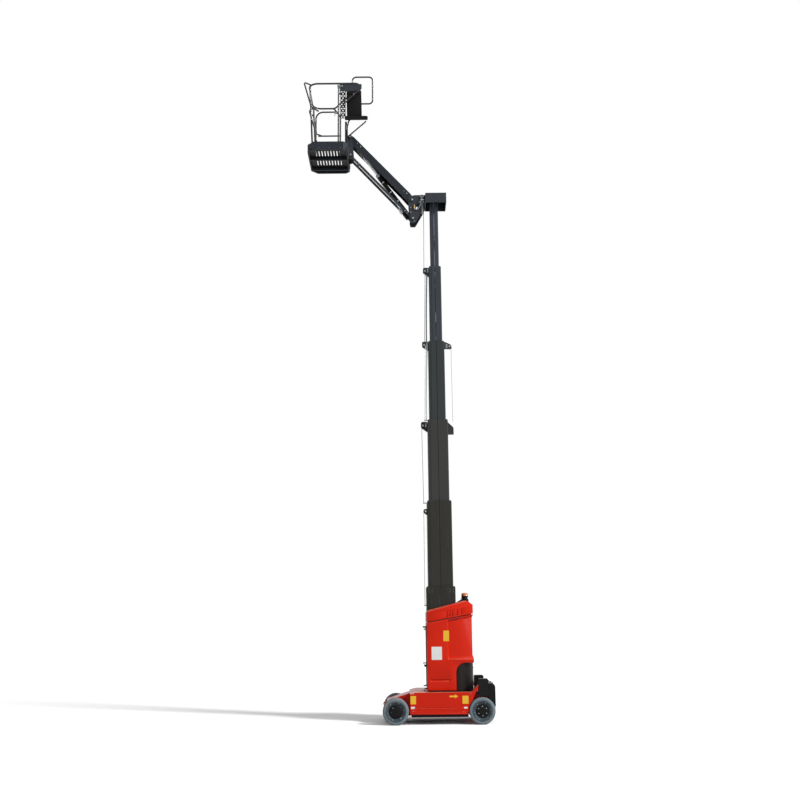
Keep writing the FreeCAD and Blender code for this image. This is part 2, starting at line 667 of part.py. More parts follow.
def tray():
    floorZ = trayZ + trayFloor
    body = trayPlan(0, trayZ, toeZ).cut(trayPlan(sheet, floorZ, toeZ + 1))
    body = body.cut(trayPlan(26, trayZ - 1, floorZ - sheet))
    ribs = [box(trayRearX + 10, trayFrontX - 10, y - 15, y + 15, trayZ, floorZ - sheet) for y in (-320, 55, 400)]
    panel = planPlate([(postX - 75, -panelHalf), (frontFootX - 40, -panelHalf), (frontFootX - 40, panelHalf),
                       (postX - 75, panelHalf)], floorZ - 1, floorZ + panelThick, 30)
    body = body.fuse(ribs + [panel])
    slotPitch, slotWidth, count = 50.0, 15.0, 9
    first = (trayRearX + trayFrontX) / 2 - slotPitch * (count - 1) / 2
    for row, slotLength in ((235, 250), (-110, 220)):
        for i in range(count):
            x = first + i * slotPitch
            body = body.cut(box(x - slotWidth / 2, x + slotWidth / 2, row - slotLength / 2, row + slotLength / 2,
                                trayZ + 10, floorZ + panelThick + 1))
    keep("basket_tray", body.removeSplitter())


def carrier():
    cx, cz = basketPin
    dx, dz = cx + linkOffset[0], cz + linkOffset[1]
    y0, y1 = plateInner, plateInner + plateWall
    plate = sidePlate([(dx - 46, dz - 46), (trayRearX, dz - 66), (trayRearX, toeZ + 4), (cx + 48, cz - 60),
                       (cx + 42, cz + 38), (cx - 38, cz + 38), (cx - 46, cz - 60), (dx - 50, dz + 60)],
                      y0, y1, [34, 0, 0, 60, 34, 34, 60, 40])
    seat0, seat1 = y1, 300
    seat = box(trayRearX - 12, trayRearX, seat0, seat1, trayZ + 4, toeZ - 4)
    inner = boomHalf - boomWall - 22
    pins = []
    for side in (1, -1):
        pins.append(rod((cx, side * inner, cz), (cx, side * (y1 + 6), cz), pinRadius))
    side = join([plate, seat])
    body = join([side, mirrored(side), acrossRod(dx, dz, y1 + 6, pinRadius)] + pins)
    keep("basket_carrier", body)

    posts = []
    for y in (150, -150):
        posts.append(bentTube([(trayRearX + 40, y, trayZ + trayFloor), (trayRearX + 40, y, railMidZ - 40)], 0, 18))
    brace = bentTube([(trayRearX + 40, -150, railMidZ - 60), (trayRearX + 40, 150, railMidZ - 60)], 0, 14)
    tabZ = anchorZ + 40
    rung = bentTube([(trayRearX + 40, -150, tabZ), (trayRearX + 40, 150, tabZ)], 0, 14)
    tab = box(trayRearX + 34, trayRearX + 46, -34, 34, tabZ - 66, tabZ)
    tab = tab.cut(rod((trayRearX, 0, anchorZ), (trayRearX + 80, 0, anchorZ), anchorRadius))
    keep("basket_posts", join(posts + [brace, rung, tab]))


def cornerPoint(x, y, bend, turn):
    """A point on the centre line of a rounded corner, turned up from the front bar."""
    a = math.radians(turn)
    return x - bend + bend * math.cos(a), y - bend + bend * math.sin(a)


def rails():
    r = tubeRadius
    frontZ = trayZ + trayFloor
    top = bentTube([
        (ringX, 0, railTopZ), (ringX, railHalf, railTopZ), (railNearX, railHalf, railTopZ),
        (railFarX, -railHalf, railTopZ), (ringX, -railHalf, railTopZ), (ringX, 0, railTopZ)],
        [0, ringBend, 75, 75, ringBend, 0])
    postTop = cornerPoint(ringX, railHalf, ringBend, 25)
    corner = cornerPoint(ringX, railHalf, ringBend, 45)
    posts, loops = [], []
    for side in (1, -1):
        foot = (frontFootX, side * frontPostHalf, frontZ - 5)
        post = bentTube([foot, (postTop[0], side * postTop[1], railTopZ)], 0)
        posts.append(post.cut(box(frontFootX - 60, frontFootX + 60, -trayHalf, trayHalf, frontZ - 30, frontZ)))
        end = (1912, railHalf, railMidZ + 16) if side > 0 else (1925, -railHalf - 4, railMidZ + 4)
        loops.append(bentTube([(corner[0], side * corner[1], railTopZ), (loopTop[0], side * loopTop[1], railTopZ),
                               (loopLow[0], side * loopTop[1], loopLow[1]), end], [0, 34, 34, 0], midRadius))
    midFar = bentTube([(1990, -railHalf, railMidZ), (farPostX + 14 + endGap, -railHalf, railMidZ)], 0, midRadius)
    loops[1] = max(loops[1].cut(midFar).Solids, key=lambda solid: solid.Volume)
    keep("rail_top", join([top] + posts + loops))

    share = (railMidZ - frontZ) / (railTopZ - frontZ)
    atX = frontFootX + share * (postTop[0] - frontFootX)
    atY = frontPostHalf + share * (postTop[1] - frontPostHalf)
    midFront = bentTube([(atX, atY, railMidZ), (midBarX, atY - 50, railMidZ), (midBarX, 50 - atY, railMidZ),
                         (atX, -atY, railMidZ)], [0, 30, 30, 0], midRadius)
    midFront = max(midFront.cut(posts).Solids, key=lambda solid: solid.Volume)
    midRear = bentTube([(farPostX - 8, -railHalf + 14, railMidZ - 60), (1500, -200, railMidZ - 60),
                        (1440, 100, railMidZ - 60), (1400, 322, railMidZ - 60)], [0, 150, 200, 0], midRadius)
    midRear = max(midRear.cut(shapes["basket_posts"]).cut(shapes["console_shelf"]).Solids,
                  key=lambda solid: solid.Volume)
    keep("rail_mid", midFront, midFar, midRear)

    nearPost = bentTube([(postX, railHalf, frontZ), (postX, railHalf, railTopZ - r - 0.3)], 0, 14)
    farPost = bentTube([(farPostX, -railHalf, frontZ), (farPostX, -railHalf, railTopZ - 150),
                        (railFarX + 20, -railHalf, railTopZ)], [0, 60, 0], 14)
    farPost = max(farPost.cut(shapes["rail_top"]).Solids, key=lambda solid: solid.Volume)
    collar = Part.makeCylinder(24, 70, Vector(gateHingeX, railHalf, toeZ - 40))
    collar = collar.cut(Part.makeCylinder(13 + 0.1, 100, Vector(gateHingeX, railHalf, toeZ - 20)))
    hook = box(postX + 10, postX + 40, railHalf - 16, railHalf + 16, railMidZ - 26, railMidZ - 13.3)
    keep("side_posts", nearPost.fuse(hook), farPost)
    lug = box(gateHingeX - 20, gateHingeX + 20, railHalf + 20, trayHalf - sheet - endGap, toeZ - 40, toeZ - 4)
    keep("gate_collar", collar.fuse(lug).removeSplitter())

    gate = bentTube([(gateHingeX, railHalf, toeZ - 19.7), (gateHingeX, railHalf, railMidZ),
                     (gateEndX, railHalf, railMidZ)], 120, 13)
    keep("gate", gate)


def console():
    y = railHalf
    plate = sidePlate([(railNearX + 20, railTopZ - tubeRadius - 0.2), (1562, railTopZ - tubeRadius - 0.2),
                       (1562, railTopZ - 145), (1330, railTopZ - 145), (railNearX + 20, railTopZ - 120)],
                      y - 4, y + 4, [0, 0, 10, 30, 40])
    for x, z in ((1545, 45), (1520, 45), (1545, 75), (1520, 90), (1545, 110)):
        plate = plate.cut(rod((x, y - 20, railTopZ - z), (x, y + 20, railTopZ - z), 9))
    keep("console_plate", plate.fuse(box(1226, 1470, y - 59, y - 3, railTopZ - 118, railTopZ - 40)))

    boxDepth = 56.0
    shelfZ = railMidZ - 85
    holder = sidePlate([(1190, shelfZ + 0.3), (1440, shelfZ + 0.3), (1450, railTopZ - 155), (1200, railTopZ - 125)],
                       y - 4.2 - boxDepth, y - 4.2, 14)
    keep("console_box", holder)

    shelf = planPlate([(1090, y + 25), (1470, y + 25), (1470, y - 90), (1220, y - 90), (1090, y - 50)],
                      shelfZ - 16, shelfZ, [38, 10, 10, 60, 30])
    skirt = planPlate([(1090, y + 25), (1470, y + 25), (1470, y + 20), (1094, y + 20)], shelfZ - 76, shelfZ - 16)
    keep("console_shelf", shelf.fuse(skirt))

    side = y - boxDepth - 4.2 - midRadius - endGap
    low, high = railTopZ - 340, railTopZ + 160
    hoop = bentTube([(1230, side, low), (1010, side, low), (1010, side, high), (1350, side, high),
                     (1350, side, railTopZ - 185)], 65, midRadius)
    keep("guard_hoop", hoop)


def main():
    for section in (chassis, axles, wheels, turret, mast, head, jib):
        section()
    fixed = set(shapes)
    for section in (tray, carrier, console, rails):
        section()
    for name in set(shapes) - fixed:
        shapes[name].translate(Vector(basketShift[0], 0, basketShift[1]))
    os.makedirs("parts", exist_ok=True)
    for name, shape in shapes.items():
        shape.translate(Vector(-midX, 0, 0))
        shape.exportStep("parts/%s.step" % name)
        print(name, len(shape.Solids), shape.isValid())


if __name__ == "__main__":
    main()
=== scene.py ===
import bpy
import bmesh
import json
import math
from mathutils import Matrix, Vector


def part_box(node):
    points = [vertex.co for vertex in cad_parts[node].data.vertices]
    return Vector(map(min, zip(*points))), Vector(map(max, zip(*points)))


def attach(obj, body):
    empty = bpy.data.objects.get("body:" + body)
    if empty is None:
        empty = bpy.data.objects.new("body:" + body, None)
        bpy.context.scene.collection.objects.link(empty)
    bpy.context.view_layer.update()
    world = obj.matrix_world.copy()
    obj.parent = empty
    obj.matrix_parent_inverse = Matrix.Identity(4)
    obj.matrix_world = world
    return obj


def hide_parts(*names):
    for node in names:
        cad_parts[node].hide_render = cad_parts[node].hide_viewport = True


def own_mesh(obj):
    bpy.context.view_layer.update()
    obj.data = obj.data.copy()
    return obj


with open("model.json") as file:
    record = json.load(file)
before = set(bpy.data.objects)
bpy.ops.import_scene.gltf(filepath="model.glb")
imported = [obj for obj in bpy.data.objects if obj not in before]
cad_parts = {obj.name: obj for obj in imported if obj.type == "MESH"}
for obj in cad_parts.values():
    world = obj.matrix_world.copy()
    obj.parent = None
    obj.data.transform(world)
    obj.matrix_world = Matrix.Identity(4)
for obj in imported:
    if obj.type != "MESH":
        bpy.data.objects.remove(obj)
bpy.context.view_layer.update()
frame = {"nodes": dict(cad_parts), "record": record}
nodes = frame["nodes"]
print("frame loaded:", len(nodes), "nodes")


def middle(node):
    low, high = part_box(node)
    return (low + high) / 2


axisX = middle("mast_section_5").x              # the mast's own axis
sides = {"left": 1, "right": -1}


def at(x, y, z):
    # a place measured from the mast's axis
    return (axisX + x, y, z)


def linear(hexColour):
    # a paint colour as it is mixed, turned into the shader's linear values
    values = [int(hexColour[i:i + 2], 16) / 255 for i in (0, 2, 4)]
    return [v / 12.92 if v <= 0.04045 else ((v + 0.055) / 1.055) ** 2.4 for v in values] + [1.0]


# shader helpers: each adds a node and gives its output
def addNode(tree, kind, inputs=None, **settings):
    node = tree.nodes.new(kind)
    for key, value in settings.items():
        setattr(node, key, value)
    for key, value in (inputs or {}).items():
        if isinstance(value, bpy.types.NodeSocket):
            tree.links.new(value, node.inputs[key])
        else:
            node.inputs[key].default_value = value
    return node


def objectPlace(tree, stretch=(1, 1, 1)):
    place = addNode(tree, "ShaderNodeTexCoord").outputs["Object"]
    if tuple(stretch) == (1, 1, 1):
        return place
    return addNode(tree, "ShaderNodeMapping", {"Vector": place, "Scale": stretch}).outputs[0]


def partOf(tree, vector, axis):
    return addNode(tree, "ShaderNodeSeparateXYZ", {0: vector}).outputs[axis]


def noiseOf(tree, scale, detail=3.0, stretch=(1, 1, 1), roughness=0.55):
    return addNode(tree, "ShaderNodeTexNoise", {
        "Vector": objectPlace(tree, stretch), "Scale": scale, "Detail": detail,
        "Roughness": roughness}).outputs["Fac"]


def ranged(tree, value, low, high, toLow=0.0, toHigh=1.0):
    return addNode(tree, "ShaderNodeMapRange", {
        "Value": value, "From Min": low, "From Max": high, "To Min": toLow,
        "To Max": toHigh}).outputs["Result"]


def mathOf(tree, operation, first, second=0.0):
    return addNode(tree, "ShaderNodeMath", {0: first, 1: second}, operation=operation).outputs[0]


def mixed(tree, share, first, second):
    return addNode(tree, "ShaderNodeMix", {"Factor": share, 6: first, 7: second}, data_type="RGBA").outputs[2]


def upness(tree):
    return partOf(tree, addNode(tree, "ShaderNodeNewGeometry").outputs["Normal"], "Z")


def startMaterial(name):
    material = bpy.data.materials.new(name)
    material.use_nodes = True
    return material, material.node_tree, material.node_tree.nodes["Principled BSDF"]


def wire(tree, shader, tone, values, rough=None, bump=None):
    # colour, varying roughness and bump (height, strength, distance) to the shader, then its constants
    tree.links.new(tone, shader.inputs["Base Color"])
    if rough is not None:
        tree.links.new(rough, shader.inputs["Roughness"])
    if bump is not None:
        relief = addNode(tree, "ShaderNodeBump", dict(zip(("Height", "Strength", "Distance"), bump)))
        tree.links.new(relief.outputs[0], shader.inputs["Normal"])
    for key, value in values.items():
        shader.inputs[key].default_value = value


def paintedSteel(name, colour, worn, dustAndSheen="8d8579", rough=0.35, coat=0.0, mottle=0.10, dustAndSheenShare=0.25,
                 gloss=0.28, skyTintAloft=None, underShade=0.0):
    # sprayed paint: faint mottling, scuffs in a worn tone, pale dust on upward faces that on the red paint is also a
    # painted highlight, and orange peel
    material, tree, shader = startMaterial(name)
    tone, scuff = linear(colour), linear(worn)
    cloudy = noiseOf(tree, 2.2, 4)
    if skyTintAloft:                                    # painted sky reflection: paler and bluer paint high up, darker low down
        height = partOf(tree, objectPlace(tree), "Z")
        tone = mixed(tree, ranged(tree, height, 1.5, 7.5), tone, linear(skyTintAloft))
    tone = mixed(tree, ranged(tree, cloudy, 0.35, 0.68, 0, mottle * 4), tone, scuff)
    scratch = noiseOf(tree, 26, 5, stretch=(1, 1, 0.12), roughness=0.7)
    tone = mixed(tree, ranged(tree, scratch, 0.62, 0.72, 0, mottle * 3), tone, scuff)
    settledDustAndSheen = mathOf(tree, "MULTIPLY", ranged(tree, upness(tree), 0.35, 1.0), ranged(tree, cloudy, 0.3, 0.62))
    tone = mixed(tree, mathOf(tree, "MULTIPLY", settledDustAndSheen, dustAndSheenShare), tone, linear(dustAndSheen))
    if underShade:                                    # painted shade: downward faces turn near black
        tone = mixed(tree, ranged(tree, upness(tree), -0.85, -0.40, underShade, 0), tone, linear("08080a"))
    wire(tree, shader, tone, {"Coat Weight": coat, "Coat Roughness": 0.12, "Specular IOR Level": gloss},
         ranged(tree, noiseOf(tree, 38, 3), 0.3, 0.75, rough * 0.8, rough * 1.35),
         (noiseOf(tree, 160, 2), 0.35, 0.0006))
    return material


def shadeBlackened(material, share, black):
    # painted shade: a finished paint turned to black where the share says
    tree = material.node_tree
    base = tree.nodes["Principled BSDF"].inputs["Base Color"]
    tree.links.new(mixed(tree, share(tree), base.links[0].from_socket, linear(black)), base)
    return material


def rubber(name, tread, shoulder, radius):
    # non-marking tyre: dark round the rim, a paler dusty shoulder ring, fine grain
    material, tree, shader = startMaterial(name)
    place = objectPlace(tree)
    height = mathOf(tree, "SUBTRACT", partOf(tree, place, "Z"), radius)
    ring = None
    for axleX in axleXs:
        offset = mathOf(tree, "SUBTRACT", partOf(tree, place, "X"), axleX)
        reach = mathOf(tree, "SQRT", mathOf(tree, "ADD", mathOf(tree, "MULTIPLY", offset, offset),
                                            mathOf(tree, "MULTIPLY", height, height)))
        ring = reach if ring is None else mathOf(tree, "MINIMUM", ring, reach)
    noise = noiseOf(tree, 60, 4)
    pale = ranged(tree, mathOf(tree, "ADD", ring, mathOf(tree, "MULTIPLY", noise, 0.010)), 0.150, 0.160)
    tone = mixed(tree, pale, linear(tread), linear(shoulder))
    tone = mixed(tree, ranged(tree, noiseOf(tree, 9, 5), 0.45, 0.72, 0, 0.38), tone, linear("8c8a84"))
    wire(tree, shader, tone, {"Roughness": 0.78}, bump=(noise, 0.5, 0.0012))
    return material


def lensPlastic(name, colour):
    material, tree, shader = startMaterial(name)
    tone = mixed(tree, ranged(tree, noiseOf(tree, 14, 2), 0.3, 0.7, 0, 0.35), linear(colour), linear("ff9a3d"))
    ribs = addNode(tree, "ShaderNodeTexWave", {"Vector": objectPlace(tree), "Scale": 55.0},
                   wave_type="BANDS", bands_direction="Z")
    wire(tree, shader, tone, {"Roughness": 0.12, "Transmission Weight": 0.25, "Coat Weight": 0.6},
         bump=(ribs.outputs["Fac"], 0.4, 0.002))
    return material


def bareMetal(name, colour, rough):
    material, tree, shader = startMaterial(name)
    fine = noiseOf(tree, 90, 3, stretch=(1, 1, 0.25))
    tone = mixed(tree, ranged(tree, fine, 0.35, 0.7, 0, 0.5), linear(colour), linear("6f7276"))
    wire(tree, shader, tone, {"Metallic": 1.0}, ranged(tree, fine, 0.3, 0.7, rough, rough + 0.12),
         (fine, 0.25, 0.0004))
    return material


def stickerFilm(name, colour, edge):
    # printed film with nothing on it: slightly yellowed and dirty in patches
    material, tree, shader = startMaterial(name)
    tone = mixed(tree, ranged(tree, noiseOf(tree, 18, 4), 0.42, 0.75, 0, 0.35), linear(colour), linear(edge))
    wire(tree, shader, tone, {"Roughness": 0.32}, bump=(noiseOf(tree, 130, 2), 0.2, 0.0003))
    return material


def wireRope(name, light, dark, lay):
    # strands laid round a rope, read from the place along it
    material, tree, shader = startMaterial(name)
    strands = addNode(tree, "ShaderNodeTexWave", {
        "Vector": objectPlace(tree), "Scale": lay, "Distortion": 0.6, "Detail": 1.0},
        wave_type="BANDS", bands_direction="DIAGONAL").outputs["Fac"]
    wire(tree, shader, mixed(tree, strands, linear(dark), linear(light)), {"Roughness": 0.42, "Metallic": 0.35},
         bump=(strands, 0.6, 0.0015))
    return material


axleXs = sorted({round(middle(n).x, 4) for n in nodes if n.startswith("tyre_")})
wheelZ = middle("tyre_front_left").z
slate = ("2f353c", "22262b")
finishes = {
    # the red's pale dust on upward faces is also a painted highlight of glare on the deck
    "red_paint": paintedSteel("redPaint", "cc2004", "981204", dustAndSheen="dccbb0", rough=0.32, coat=0.10, mottle=0.05,
                              gloss=0.10, dustAndSheenShare=0.45),
    # charcoal: paler and bluer high up as painted sky reflection, near black on downward faces as painted shade
    "charcoal_paint": paintedSteel("charcoalPaint", "2b2a27", "1e1e1d", rough=0.42, gloss=0.2, skyTintAloft="3a3f45",
                                   underShade=0.75),
    "black_paint": paintedSteel("blackPaint", "08080a", "1c1c1e", rough=0.45, gloss=0.12),
    "ballast_iron": paintedSteel("ballastPaint", "0d0908", "1e1815", rough=0.4, gloss=0.14),
    # the slate sheet turns near black on downward faces as painted shade
    "basket_alloy": paintedSteel("slateSheet", *slate, rough=0.4, underShade=0.6),
    "rail_tube": paintedSteel("railTubePaint", "1d1717", "40342f", rough=0.22, coat=0.4),
    "black_plastic": paintedSteel("blackPlastic", "0b0b0c", "1b1c1e", rough=0.5, mottle=0.05, gloss=0.12),
    "wheel_grey": paintedSteel("wheelPaint", "33454f", "28343b", rough=0.5, mottle=0.12, dustAndSheenShare=0.1),
    "grey_tyre": rubber("greyTyre", "26353f", "66747c", wheelZ),
    "amber_lens": lensPlastic("amberLens", "d96a12"),
    "chrome_rod": bareMetal("chromeRod", "c9ccd0", 0.12),
}
extras = {
    "zinc": bareMetal("zincPlate", "a9adb0", 0.32), "bolt": bareMetal("boltSteel", "8e9195", 0.38),
    "darkBolt": bareMetal("darkBolt", "4b4e52", 0.45),
    "brass": bareMetal("brassFitting", "a8905a", 0.35), "rope": wireRope("wireRope", "dfe2e4", "a3a7aa", 320.0),
    "hose": paintedSteel("hoseRubber", "2a2c2e", "3d4042", rough=0.55, mottle=0.08),
    "paleHose": paintedSteel("paleHose", "c3c8cb", "9a9ea1", rough=0.5, mottle=0.08),
    "yellow": stickerFilm("yellowFilm", "e6b41e", "c79a22"), "white": stickerFilm("whiteFilm", "dfe1df", "c4c5c0"),
    # dark red filler in the turret's seam: painted shade
    "seamShade": paintedSteel("seamShadeRed", "4a0c05", "33100a", rough=0.6, mottle=0.03, dustAndSheenShare=0.05),
}


def setPaint(piece, material):
    piece.data.materials.clear()
    piece.data.materials.append(material)


for entry in frame["record"]["subparts"]:
    setPaint(nodes[entry["node"]], finishes[entry["material_slot"]])
print("finishes ready:", len(finishes) + len(extras))


# modelling helpers: every new piece goes through settle
def deselect():
    bpy.ops.object.select_all(action="DESELECT")


def only(piece):
    deselect()
    piece.select_set(True)
    bpy.context.view_layer.objects.active = piece


def frozen(piece):
    only(piece)
    bpy.ops.object.transform_apply(location=True, rotation=True, scale=True)
    return piece


def linked(name, data):
    piece = bpy.data.objects.new(name, data)
    bpy.context.collection.objects.link(piece)
    return piece


def settle(piece, name, body, finish, smooth=35):
    # finish is a slot's name, an extra's name or a material of the piece's own
    frozen(piece)
    bpy.ops.object.shade_smooth_by_angle(angle=math.radians(smooth))
    piece.name = piece.data.name = name
    setPaint(piece, {**finishes, **extras}.get(finish, finish))
    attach(piece, body)
    return piece


def applied(piece, kind, **settings):
    only(piece)
    modifier = piece.modifiers.new("shape", kind)
    for key, value in settings.items():
        setattr(modifier, key, value)
    bpy.ops.object.modifier_apply(modifier=modifier.name)
    return piece


def editing(piece, action):
    only(piece)
    bpy.ops.object.mode_set(mode="EDIT")
    bpy.ops.mesh.select_all(action=action)


def edited():
    # leaves edit mode with every normal outward
    bpy.ops.mesh.select_all(action="SELECT")
    bpy.ops.mesh.normals_make_consistent(inside=False)
    bpy.ops.object.mode_set(mode="OBJECT")


def picked(piece, kind, test, mode=None):
    # goes into edit mode with only the verts, edges or faces that pass the test selected
    editing(piece, "DESELECT")
    if mode:
        bpy.ops.mesh.select_mode(type=mode)
        bpy.ops.mesh.select_all(action="DESELECT")
    mesh = bmesh.from_edit_mesh(piece.data)
    for part in getattr(mesh, kind):
        part.select_set(bool(test(part)))
    if kind == "verts":
        mesh.select_flush(True)
    bmesh.update_edit_mesh(piece.data)


def edgesBevelled(piece, test, offset, segments, mode=None):
    picked(piece, "edges", test, mode)
    bpy.ops.mesh.bevel(offset=offset, segments=segments, affect="EDGES")
    bpy.ops.object.mode_set(mode="OBJECT")


def cutBy(piece, cutter):
    applied(piece, "BOOLEAN", operation="DIFFERENCE", object=cutter, solver="EXACT")
    only(cutter)
    bpy.ops.object.delete()


def rawBlock(low, high, bevel=0.0):
    deselect()
    sizes = [abs(b - a) for a, b in zip(low, high)]
    bpy.ops.mesh.primitive_cube_add(size=1, location=[(a + b) / 2 for a, b in zip(low, high)], scale=sizes)
    piece = frozen(bpy.context.object)
    if bevel:
        applied(piece, "BEVEL", width=min(bevel, 0.45 * min(sizes)), segments=2)
    return piece


def axisBlock(low, high, bevel=0.0):
    # a block between two places measured from the mast's axis
    return rawBlock(at(*low), at(*high), bevel)


def rawTurned(profile, steps=32):
    # a ring drawn out along +Z through (radius, height) pairs, closed at both ends
    deselect()
    radius, height = profile[0]
    bpy.ops.mesh.primitive_circle_add(vertices=steps, radius=radius, fill_type="NGON", location=(0, 0, height))
    piece = frozen(bpy.context.object)
    editing(piece, "SELECT")
    for (r0, z0), (r1, z1) in zip(profile, profile[1:]):
        bpy.ops.mesh.extrude_region_move(TRANSFORM_OT_translate={"value": (0, 0, z1 - z0)})
        if abs(r1 - r0) > 1e-7:
            bpy.ops.transform.resize(value=(r1 / r0, r1 / r0, 1), center_override=(0, 0, z1))
    edited()
    return piece


def rawRing(profile, steps=32):
    # a closed outline of (radius, height) pairs spun round the Z axis into a solid ring
    count = len(profile)
    mesh = bpy.data.meshes.new("ring")
    mesh.from_pydata([(r, 0, z) for r, z in profile], [(i, (i + 1) % count) for i in range(count)], [])
    piece = linked("ring", mesh)
    editing(piece, "SELECT")
    bpy.ops.mesh.spin(steps=steps, angle=math.tau, center=(0, 0, 0), axis=(0, 0, 1))
    bpy.ops.mesh.select_all(action="SELECT")
    bpy.ops.mesh.remove_doubles(threshold=1e-5)
    bpy.ops.mesh.delete_loose()
    edited()
    return piece


def rawPipe(points, radius, rings=6, smooth=True):
    curve = bpy.data.curves.new("run", "CURVE")
    curve.dimensions = "3D"
    curve.bevel_depth = radius
    curve.bevel_resolution = 3
    curve.use_fill_caps = True
    spline = curve.splines.new("NURBS" if smooth else "POLY")
    spline.points.add(len(points) - 1)
    for point, place in zip(spline.points, points):
        point.co = (*place, 1)
    if smooth:
        spline.order_u = 3
        spline.use_endpoint_u = True
        spline.resolution_u = rings
    only(linked("run", curve))
    bpy.ops.object.convert(target="MESH")
    return bpy.context.object


def turnedTo(direction):
    return Vector((0, 0, 1)).rotation_difference(Vector(direction)).to_euler()


def aim(piece, place, direction):
    # turns a piece made along +Z to point along direction, then puts it in place
    piece.rotation_euler = turnedTo(direction)
    piece.location = place
    return frozen(piece)


def joined(pieces):
    deselect()
    for piece in pieces:
        piece.select_set(True)
    bpy.context.view_layer.objects.active = pieces[0]
    if len(pieces) > 1:
        bpy.ops.object.join()
    return bpy.context.object


def copies(model, places, direction=(0, 0, 1)):
    # one modelled piece, copied with its own mesh to each place, then joined
    made = []
    for place in places:
        copy = linked("copy", model.data.copy())
        made.append(aim(copy, place, direction))
    only(model)
    bpy.ops.object.delete()
    return joined(made)


def hexBolt(size):
    # six-sided head on a round washer, with its top edge broken
    head = rawTurned([(size * 0.5, 0), (size * 0.5, size * 0.30), (size * 0.43, size * 0.36)], 6)
    washer = rawTurned([(size * 0.62, -size * 0.04), (size * 0.62, size * 0.07), (size * 0.58, size * 0.09)], 16)
    return joined([head, washer])


def capScrew(size):
    # low domed screw head
    return rawTurned([(size * 0.5, -size * 0.05), (size * 0.5, size * 0.12), (size * 0.38, size * 0.24),
                      (size * 0.16, size * 0.29)], 14)


# whole pieces in one call: fixings in a row, a turned part, a tube through places from the mast's axis
def fixings(name, body, model, places, direction, finish):
    settle(copies(model, places, direction), name, body, finish)


def turned(name, body, profile, steps, place, direction, finish, smooth=35):
    return settle(aim(rawTurned(profile, steps), place, direction), name, body, finish, smooth)


def axisPipe(path, radius, **bends):
    return rawPipe([at(*place) for place in path], radius, **bends)


def piped(name, body, path, radius, finish, **bends):
    settle(axisPipe(path, radius, **bends), name, body, finish)


def filmOn(name, rangeX, rangeZ, face, side, body, finish):
    # a thin blank film with rounded corners on a side face
    piece = axisBlock((rangeX[0], side * face, rangeZ[0]),
                      (rangeX[1], side * (face + film["thick"]), rangeZ[1]))
    edgesBevelled(piece, lambda edge: abs((edge.verts[1].co - edge.verts[0].co).y) > 0.9 * edge.calc_length(),
                  film["corner"], 4)
    settle(piece, name, body, finish)


# wheels: hub covers, bolts and the ring of small caps; heights are from the wheel's middle plane outwards
hub = {
    "front": [(0.100, 0.040), (0.100, 0.049), (0.093, 0.0535), (0.070, 0.0605), (0.050, 0.0626), (0.020, 0.0632)],
    "rear": [(0.100, 0.040), (0.100, 0.047), (0.096, 0.0495), (0.058, 0.0515), (0.054, 0.0625), (0.048, 0.0632),
             (0.020, 0.0632)],
    "frontCaps": [(0.066, 0.0574, -0.012), (0.040, 0.0594, 0.052)], "frontCap": 0.012,
    "boltRing": 0.066, "boltFace": 0.0515, "bolt": 0.013, "dotRing": 0.122, "dotFace": 0.0555, "dot": 0.010,
}


def ringPlaces(centre, reach, y, start):
    return [(centre.x + reach * math.cos(start + i * math.tau / 6), y,
             centre.z + reach * math.sin(start + i * math.tau / 6)) for i in range(6)]


def makeHubs():
    for end in ("front", "rear"):
        for sideName, side in sides.items():
            wheel = end + "_" + sideName
            body, centre, outward = "wheel_" + wheel, middle("tyre_" + wheel), (0, side, 0)
            turned("hubCover_" + wheel, body, hub[end], 48, tuple(centre), outward, "black_plastic", 25)
            if end == "front":
                model = capScrew(hub["frontCap"])
                places = [(centre.x + x, centre.y + side * y, centre.z + z) for x, y, z in hub["frontCaps"]]
            else:
                model = hexBolt(hub["bolt"])
                places = ringPlaces(centre, hub["boltRing"], centre.y + side * hub["boltFace"], 0.5)
            fixings("hubBolts_" + wheel, body, model, places, outward, "bolt")
            dots = ringPlaces(centre, hub["dotRing"], centre.y + side * hub["dotFace"], 0.9)
            fixings("rimCaps_" + wheel, body, capScrew(hub["dot"]), dots, outward, "zinc")


# chassis: blank films and arrows, screws, sills, rolled edges and fittings on the deck
film = {
    "thick": 0.0008, "corner": 0.006, "arrow": (-0.085, -0.209, 0.397, 0.028), "arrowHead": 0.045,
    "labels": {"frontLabel_": ((0.404, 0.484), (0.291, 0.407), "yellow"),
               "rearLabel_": ((-0.360, -0.272), (0.293, 0.405), "yellow"),
               "frontTag_": ((0.420, 0.478), (0.226, 0.258), "white"),
               "rearTag_": ((-0.344, -0.290), (0.226, 0.250), "white")},
}
chassisShape = {"screws": [(0.446, 0.190), (-0.286, 0.182), (0.446, 0.434), (-0.392, 0.434)],
                "sill": (-0.318, 0.470, 0.004, 0.020), "beadZ": 0.4485, "bead": [0.385, 0.10, -0.20, -0.375],
                "swage": [(0.430, 0.234), (0.10, 0.226), (-0.150, 0.216), (-0.175, 0.222), (-0.235, 0.268)]}


def makeArrow(name, side, face):
    # a blank arrow pointing to the rear, cut from film
    front, rear, z, half = film["arrow"]
    neck, stem = rear + film["arrowHead"], half * 0.42
    outline = [(front, z + stem), (neck, z + stem), (neck, z + half), (rear, z), (neck, z - half),
               (neck, z - stem), (front, z - stem)]
    mesh = bpy.data.meshes.new(name)
    mesh.from_pydata([at(x, side * face, h) for x, h in outline], [], [tuple(range(len(outline)))])
    piece = linked(name, mesh)
    editing(piece, "SELECT")
    bpy.ops.mesh.extrude_region_move(TRANSFORM_OT_translate={"value": (0, side * film["thick"], 0)})
    edited()
    settle(piece, name, "chassis", "yellow")


